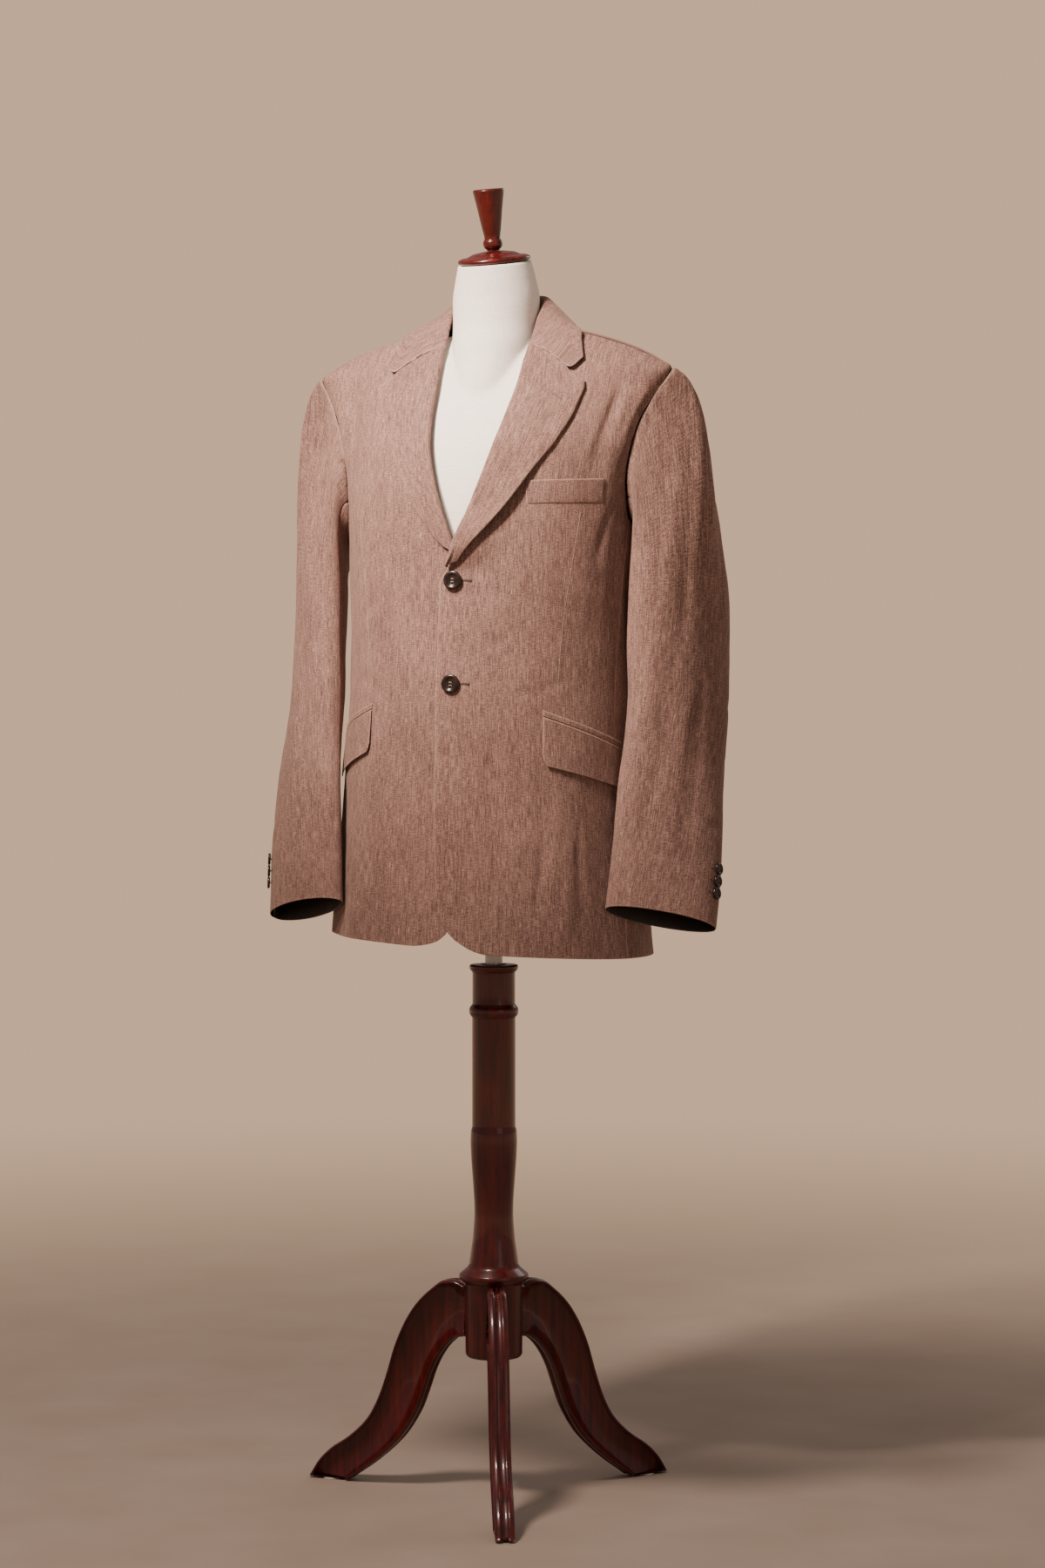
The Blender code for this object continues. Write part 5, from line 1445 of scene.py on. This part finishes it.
def thread_cross(holes, level, radius):
    """Four strands between the holes of a button, sewn as two bars."""
    runs = []
    c = holes / math.sqrt(2)
    for sign in (-1, 1):
        for slip in (-0.22, 0.22):
            path = []
            for t in (-1.15, -1.0, -0.5, 0.0, 0.5, 1.0, 1.15):
                sunk = 0.9 * MM if abs(t) > 1.05 else 0.0
                path.append((t * c, sign * c + slip * MM, level - sunk + 0.25 * MM * (1 - t * t)))
            runs.append((path, radius))
    return runs


def sew_button(node, half, thick, holes, frame_at, ring=72):
    """A button in a frame, the threads through its holes and the wound shank under it."""
    points, faces = button_mesh(half, thick, holes, half * 0.105, ring)
    add_piece("sewn_" + node, placed(points, frame_at), faces, [finish("button")], "form", (node,), "button")
    runs = [(placed(path, frame_at), radius)
            for path, radius in thread_cross(holes, thick * 0.62, half * 0.028)]
    strands("threads_" + node, runs, "seam thread", "form", slot="linen")
    shank = [placed((0, 0, z), frame_at) for z in (0.4 * MM, 0.0, -1.2 * MM)]
    strands("shank_" + node, [(shank, half * 0.16)], "dark thread and painted shade", "form", sides=12, slot="linen")


def buttonhole(name, centre, along, up, out, length, thick, look_ring, look_slit, bar=True):
    """A worked buttonhole: satin stitches round a slit, with a dark run laid in the slit as painted shade of
    its opening, and an upright bar at its end.
    """
    centre, along, up, out = (np.asarray(v, float) for v in (centre, along, up, out))
    runs, pitch = [], 0.62 * MM
    count = int(length / pitch)
    for sign in (-1, 1):
        for k in range(count + 1):
            s = -length / 2 + k * pitch
            jog = 0.12 * MM * math.sin(5.1 * k + sign)
            foot = centre + along * s + up * sign * 0.25 * MM
            tip = centre + along * s + up * sign * (thick + jog)
            over = (foot + tip) / 2 + out * 0.42 * MM
            runs.append(([foot + out * 0.05 * MM, over, tip - out * 0.05 * MM], 0.33 * MM))
    if bar:
        for k in range(5):
            s = length / 2 + (0.3 + 0.45 * k) * MM
            runs.append(([centre + along * s - up * 1.9 * MM, centre + along * s + out * 0.5 * MM,
                          centre + along * s + up * 1.9 * MM], 0.34 * MM))
    strands(name, runs, look_ring, "form", slot="linen")
    # A dark run along the slit: painted shade standing in for the opening between the stitch rows.
    slit = [centre + along * s + out * 0.12 * MM for s in np.linspace(-length / 2, length / 2, 7)]
    strands(name + "_slit", [(slit, 0.38 * MM)], look_slit, "form", slot="linen")


def sew_buttons():
    for node, z, out in FRONT_BUTTONS:
        here = front_point(0.0, z, out, 1)
        normal = body_normal(0.0, z)
        sew_button(node, BUTTON_HALF, 4.2 * MM, 2.5 * MM, stand_at(here, normal))
        angle = float(angle_at(0.0085, z))
        spot, across, up, outward = front_frame(angle, z, 0.05 * MM)
        buttonhole(node + "_hole", spot, across, up, outward, 0.024, 1.25 * MM, "dark thread and painted shade", "dark thread and painted shade")
    for side, word, table, _ in SIDES:
        for index in range(3):
            z = table[0][0] + CUFF_FIRST + CUFF_PITCH * index
            step = 1 + (table[-1][0] - z) / (table[-1][0] - table[0][0])
            here = sleeve_point(table, CUFF_TURN, step, side)
            around = (sleeve_point(table, CUFF_TURN + 4, step, side)
                      - sleeve_point(table, CUFF_TURN - 4, step, side))
            down = (sleeve_point(table, CUFF_TURN, step + 0.02, side)
                    - sleeve_point(table, CUFF_TURN, step - 0.02, side))
            normal = unit(np.cross(around, down))
            x, y = (float(value) for value in read(table, z)[:2])
            if normal @ (here - np.array([side * x, y, here[2]])) < 0:
                normal = -normal
            node = "cuff_button_%s_%d" % (word, index + 1)
            seat = stand_at(here + normal * 1.5 * MM, normal)
            sew_button(node, CUFF_BUTTON_HALF, 3.2 * MM, 1.75 * MM, seat, 56)
            tack = sleeve_point(table, TACK_TURN, step, side) + normal * 0.9 * MM
            buttonhole(node + "_tack", tack, -unit(around), unit(down), normal, 0.0045, 0.8 * MM,
                       "dark thread and painted shade", "dark thread and painted shade", False)


def stitch_line(path, pitch, length, radius):
    """Short stitches along a path that lies on the cloth."""
    path = np.asarray(path)
    ways = np.concatenate([[0], np.cumsum(np.linalg.norm(np.diff(path, axis=0), axis=1))])
    runs = []
    for start in np.arange(pitch / 2, ways[-1] - length, pitch):
        at = [start, start + length / 2, start + length]
        runs.append((np.stack([np.interp(at, ways, path[:, k]) for k in range(3)], axis=-1), radius))
    return runs


def sew_stitching():
    """Prick stitches on the welt, dark dashes drawn as prick stitches along the flaps' tops that paint the
    seam's shadow there, the front darts, the shoulder tapes and the lapel's buttonhole.
    """
    runs, darts = [], []
    # Dark dashes along each flap's top, drawn as prick stitches: painted shadow of the seam there.
    for side, flap in ((1, FLAP_LEFT), (-1, FLAP_RIGHT)):
        t = np.linspace(0.03, 0.97, 60)
        angle = (flap[3][0] + (flap[2][0] - flap[3][0]) * t) * DEG
        z = flap[3][1] + (flap[2][1] - flap[3][1]) * t - 2.6 * MM
        line = front_point(angle, z, flap_out(0.95) + 0.02 * MM, side)
        runs += stitch_line(line, 3.2 * MM, 1.6 * MM, 0.28 * MM)
        angle, z = (np.array(v) for v in zip(*DART))
        fine = np.linspace(z[-1], z[0], 90)
        angle = np.interp(fine, z[::-1], angle[::-1])
        darts.append((front_point(angle * DEG, fine, -0.28 * MM, side), 0.5 * MM))
    for column in (0.022, 0.978):
        t = np.linspace(0.06, 0.94, 24)
        foot = [WELT[0][k] + (WELT[1][k] - WELT[0][k]) * column for k in (0, 1)]
        head = [WELT[3][k] + (WELT[2][k] - WELT[3][k]) * column for k in (0, 1)]
        angle, z = (a + (b - a) * t for a, b in zip(foot, head))
        runs += stitch_line(front_point(angle * DEG, z, 1.5 * MM, 1), 2.4 * MM, 1.5 * MM, 0.26 * MM)
    strands("prick_stitches_and_seam_shadow", runs, "dark thread and painted shade", "form", slot="linen")
    strands("front_darts", darts, "seam thread", "form", slot="linen")
    rise = np.linspace(SHOULDER_POINT + 2 * MM, NECK_POINT + 1 * MM, 40)
    # Both tapes lie in the left shoulder's seam: the last factor mirrors the right one across.
    tapes = [(cloth_point(math.pi / 2 + 0 * rise, rise, 0.1 * MM, side) * (side, 1, 1), 1.5 * MM)
             for side in (1, -1)]
    strands("shoulder_seams", tapes, "linen", "form", sides=12, slot="linen")
    grid, _ = lapel_grid(LAPEL_LEFT, 1)
    normals = grid_normals(grid)
    i, j = round(LAPEL_HOLE[0] * (grid.shape[0] - 1)), round(LAPEL_HOLE[1] * (grid.shape[1] - 1))
    across = unit(grid[i, j + 1] - grid[i, j - 1])
    up = unit(grid[i + 1, j] - grid[i - 1, j])
    along = unit(across + LAPEL_HOLE[2] * up)
    out = normals[i, j]
    centre, upright = grid[i, j] + out * 0.1 * MM, unit(np.cross(out, along))
    buttonhole("lapel_hole", centre, along, upright, out, 0.018, 1.25 * MM,
               "seam thread", "dark thread and painted shade", False)


def shape_form():
    """The form's canvas body with the pole's socket in its foot, the neck cap and the finial."""
    turns = np.linspace(0, 2 * math.pi, 129)[:-1]
    socket = np.stack([BORE_HALF * np.sin(turns), -BORE_HALF * np.cos(turns), 0 * turns], axis=-1)
    foot = form_point(turns, 0.790) * (0.95, 0.95, 0) + (0, 0, FORM_FOOT)
    rings = [socket + (0, 0, POLE_TOP + 0.0006), socket + (0, 0, FORM_FOOT), foot * (0.5, 0.5, 1),
             foot * (0.97, 0.97, 1), foot + (0, 0, 0.0012)]
    rings += [form_point(turns, z) for z in FORM_HEIGHTS]
    count = len(turns)
    faces = quads(len(rings), count, closed=True).tolist()
    faces += [list(range(count - 1, -1, -1)), list(range((len(rings) - 1) * count, len(rings) * count))]
    add_piece("padded_form", np.concatenate(rings), faces, [finish("canvas")], "form", ("form_torso",),
              "canvas")
    lean = Vector(CAP_LEAN).normalized()
    cap = stand_at(CAP_CENTRE, CAP_LEAN, (0, 1, 0))
    add_turned("polished_neck_cap", CAP_PROFILE, "mahogany", "form", frame_at=cap, most=0.0009,
               replaces=("neck_cap",), slot="mahogany")
    top = stand_at(Vector(CAP_CENTRE) + lean * FINIAL_SEAT, lean, (0, 1, 0))
    add_turned("polished_finial", FINIAL_PROFILE, "mahogany", "form", frame_at=top, most=0.004,
               replaces=("finial",), slot="mahogany")


def shape_leg(name, turn):
    """One S-curved leg of board, its long edges rounded over."""
    out = np.array([math.sin(turn * DEG), -math.cos(turn * DEG), 0])
    side_way = np.array([math.cos(turn * DEG), math.sin(turn * DEG), 0])
    at = np.linspace(0, len(LEG_OUTER) - 1, 66)
    outer = tuple((k, *row) for k, row in enumerate(LEG_OUTER))
    inner = tuple((k, *row) for k, row in enumerate(LEG_INNER))
    bend = np.linspace(0, 90, 6) * DEG
    ring = []
    for k in at:
        high, low = (out * float(r) + np.array([0, 0, float(z)]) for r, z in (read(outer, k), read(inner, k)))
        down = unit(low - high)
        edge = min(LEG_EDGE, np.linalg.norm(low - high) * 0.3)
        inset, wide = edge * (1 - np.sin(bend)), 0.35 + 0.65 * np.cos(bend)
        corner = [high + down * d + side_way * LEG_HALF * w for d, w in zip(inset, wide)]
        other = [low - down * d + side_way * LEG_HALF * w for d, w in zip(inset, wide)]
        corner_far = [high + down * d - side_way * LEG_HALF * w for d, w in zip(inset, wide)]
        other_far = [low - down * d - side_way * LEG_HALF * w for d, w in zip(inset, wide)]
        ring.append(corner[::-1] + corner_far + other_far[::-1] + other)
    count = len(ring[0])
    faces = quads(len(ring), count, closed=True)[:, ::-1].tolist()
    faces += [list(range(count)), list(range(len(ring) * count - 1, (len(ring) - 1) * count - 1, -1))]
    add_piece("polished_" + name, np.concatenate(ring), faces, [finish("mahogany")], "stand", (name,),
              "mahogany")


def shape_stand():
    add_turned("polished_column", COLUMN_PROFILE, "mahogany", "stand", most=0.006, replaces=("column",),
               slot="mahogany")
    pole = ((0.0, POLE_TOP), (POLE_HALF, POLE_TOP), (POLE_HALF, POLE_FOOT), (0.0, POLE_FOOT))
    add_turned("brushed_pole", pole, "steel", "pole", steps=64, replaces=("pole",), slot="pole")
    for index, turn in enumerate(LEG_TURNS):
        shape_leg("leg_%d" % (index + 1), turn)
        spot = Matrix.Translation(Vector((math.sin(turn * DEG), -math.cos(turn * DEG), 0)) * GLIDE_REACH)
        pad = ((0.0, GLIDE), (0.0105, GLIDE), (0.0115, GLIDE * 0.6), (0.0115, 0.0), (0.0, 0.0))
        add_turned("moulded_glide_%d" % (index + 1), pad, "glide", "stand", steps=48, frame_at=spot,
                   most=0.0005, replaces=("foot_glide_%d" % (index + 1),), slot="glide")


# ---------------------------------------------------------------- studio

def add_light(name, place, target, size, power, tint, cone=None):
    """A round soft light, or with a cone (half its angle) a soft-edged spot."""
    data = bpy.data.lights.new(name, "SPOT" if cone else "AREA")
    if cone:
        data.spot_size, data.spot_blend, data.shadow_soft_size = 2 * cone, 1.0, size
    else:
        data.shape, data.size = "DISK", size
    data.energy = power
    data.color = linear(tint)[:3]
    made = bpy.data.objects.new(name, data)
    made.location = place
    made.rotation_euler = (Vector(target) - Vector(place)).to_track_quat("-Z", "Y").to_euler()
    bpy.context.scene.collection.objects.link(made)


def lay_floor():
    turns = np.arange(FLOOR_SIDES) * 2 * math.pi / FLOOR_SIDES
    rings = [np.stack([r * np.cos(turns), r * np.sin(turns), 0 * turns], axis=-1) for r in FLOOR_RINGS]
    mesh = bpy.data.meshes.new("studio_floor")
    faces = quads(len(rings), FLOOR_SIDES, closed=True).tolist() + [list(range(FLOOR_SIDES))]
    mesh.from_pydata(np.concatenate(rings).tolist(), [], faces)
    mesh.materials.append(finish("floor"))
    floor = bpy.data.objects.new("studio_floor", mesh)
    bpy.context.scene.collection.objects.link(floor)


def set_world():
    """One colour that lights the object from all round, and another that the camera sees behind it."""
    world = bpy.context.scene.world or bpy.data.worlds.new("Studio")
    bpy.context.scene.world = world
    world.use_nodes = True
    tree = world.node_tree
    sky = tree.nodes["Background"]
    sky.inputs["Color"].default_value = linear(SKY)
    sky.inputs["Strength"].default_value = SKY_STRENGTH
    wall = tree.nodes.new("ShaderNodeBackground")
    wall.inputs["Color"].default_value = linear(WALL_PAINT)
    wall.inputs["Strength"].default_value = WALL_STRENGTH
    seen = tree.nodes.new("ShaderNodeLightPath")
    either = tree.nodes.new("ShaderNodeMixShader")
    tree.links.new(seen.outputs["Is Camera Ray"], either.inputs[0])
    tree.links.new(sky.outputs[0], either.inputs[1])
    tree.links.new(wall.outputs[0], either.inputs[2])
    tree.links.new(either.outputs[0], tree.nodes["World Output"].inputs["Surface"])


def place_camera(studio):
    ahead = Vector((-math.sin(CAMERA_TURN), math.cos(CAMERA_TURN), 0))
    right = Vector((math.cos(CAMERA_TURN), math.sin(CAMERA_TURN), 0))
    level = ahead * math.cos(CAMERA_PAN) + right * math.sin(CAMERA_PAN)
    beside = right * math.cos(CAMERA_PAN) - ahead * math.sin(CAMERA_PAN)
    look_way = level * math.cos(CAMERA_PITCH) - Vector((0, 0, math.sin(CAMERA_PITCH)))
    data = bpy.data.cameras.new("camera")
    data.lens = studio.lens
    data.sensor_width = 36
    camera = bpy.data.objects.new("camera", data)
    place = Matrix((beside, beside.cross(look_way), -look_way)).transposed().to_4x4()
    place.translation = AXIS - ahead * studio.distance + Vector((0, 0, CAMERA_HEIGHT))
    camera.matrix_world = place
    bpy.context.scene.collection.objects.link(camera)
    bpy.context.scene.camera = camera


def set_stage():
    studio = bpy.context.scene.blazer_studio
    lay_floor()
    set_world()
    add_light("key", (-0.45, -1.05, 2.70), (0, -0.1, 1.20), 0.45, studio.key_power, WARM_LIGHT)
    add_light("chest", (-0.62, -1.55, 2.55), (-0.06, -0.12, 1.30), 0.14, studio.chest_power, WARM_LIGHT,
              13 * DEG)
    add_light("fill", (3.0, -2.4, 1.6), (0, 0, 1.0), 2.0, studio.fill_power, PALE_LIGHT)
    add_light("back", (1.2, 3.0, 2.6), (0, 0, 1.2), 1.6, studio.fill_power * 2.0, PALE_LIGHT)
    place_camera(studio)


# ---------------------------------------------------------------- add-on

class SewBody(bpy.types.Operator):
    """Sew the fronts, the side bodies and the backs"""
    bl_idname = "blazer.body"
    bl_label = "Fronts, sides and backs"

    def execute(self, context):
        sew_body()
        return {"FINISHED"}


class SewSleeves(bpy.types.Operator):
    """Sew and set the two-piece sleeves"""
    bl_idname = "blazer.sleeves"
    bl_label = "Sleeves"

    def execute(self, context):
        sew_sleeves()
        return {"FINISHED"}


class SewLapels(bpy.types.Operator):
    """Roll the lapels and the collar"""
    bl_idname = "blazer.lapels"
    bl_label = "Lapels and collar"

    def execute(self, context):
        sew_lapels()
        return {"FINISHED"}


class SewPockets(bpy.types.Operator):
    """Lay on the flaps, their jets and the breast welt"""
    bl_idname = "blazer.pockets"
    bl_label = "Pockets"

    def execute(self, context):
        sew_pockets()
        return {"FINISHED"}


class SewButtons(bpy.types.Operator):
    """Sew on the buttons and work their holes"""
    bl_idname = "blazer.buttons"
    bl_label = "Buttons"

    def execute(self, context):
        sew_buttons()
        return {"FINISHED"}


class SewStitching(bpy.types.Operator):
    """Sew the prick stitches with the flaps' painted seam shadow, the darts, the shoulder tapes and the
    lapel's buttonhole
    """
    bl_idname = "blazer.stitching"
    bl_label = "Stitching"

    def execute(self, context):
        sew_stitching()
        return {"FINISHED"}


class ShapeForm(bpy.types.Operator):
    """Cover the form and turn its cap and finial"""
    bl_idname = "blazer.dress_form"
    bl_label = "Dress form"

    def execute(self, context):
        shape_form()
        return {"FINISHED"}


class ShapeStand(bpy.types.Operator):
    """Turn the column and shape the legs, the pole and the glides"""
    bl_idname = "blazer.stand"
    bl_label = "Stand"

    def execute(self, context):
        shape_stand()
        return {"FINISHED"}


class SetStage(bpy.types.Operator):
    """Lay the floor and set the lights and the camera"""
    bl_idname = "blazer.stage"
    bl_label = "Studio"

    def execute(self, context):
        set_stage()
        return {"FINISHED"}


STEPS = (SewBody, SewSleeves, SewLapels, SewPockets, SewButtons, SewStitching,
         ShapeForm, ShapeStand, SetStage)


class BlazerPanel(bpy.types.Panel):
    """Lists the blazer's settings and the steps that make it"""
    bl_idname = "VIEW3D_PT_blazer"
    bl_label = "Linen Blazer"
    bl_space_type = "VIEW_3D"
    bl_region_type = "UI"
    bl_category = "Blazer"

    def draw(self, context):
        for group in (context.scene.blazer_cloth, context.scene.blazer_colours, context.scene.blazer_studio):
            box = self.layout.box()
            for key in group.__annotations__:
                box.prop(group, key)
        for step in STEPS:
            self.layout.operator(step.bl_idname)


CLASSES = (BlazerCloth, BlazerColours, BlazerStudio, *STEPS, BlazerPanel)


def register():
    for made in CLASSES:
        bpy.utils.register_class(made)
    bpy.types.Scene.blazer_cloth = bpy.props.PointerProperty(type=BlazerCloth)
    bpy.types.Scene.blazer_colours = bpy.props.PointerProperty(type=BlazerColours)
    bpy.types.Scene.blazer_studio = bpy.props.PointerProperty(type=BlazerStudio)


def unregister():
    del bpy.types.Scene.blazer_cloth, bpy.types.Scene.blazer_colours, bpy.types.Scene.blazer_studio
    for made in reversed(CLASSES):
        bpy.utils.unregister_class(made)


def main():
    register()
    for step in STEPS:
        getattr(bpy.ops.blazer, step.bl_idname.split(".")[1])()
    bpy.context.view_layer.update()


if __name__ == "__main__":
    main()
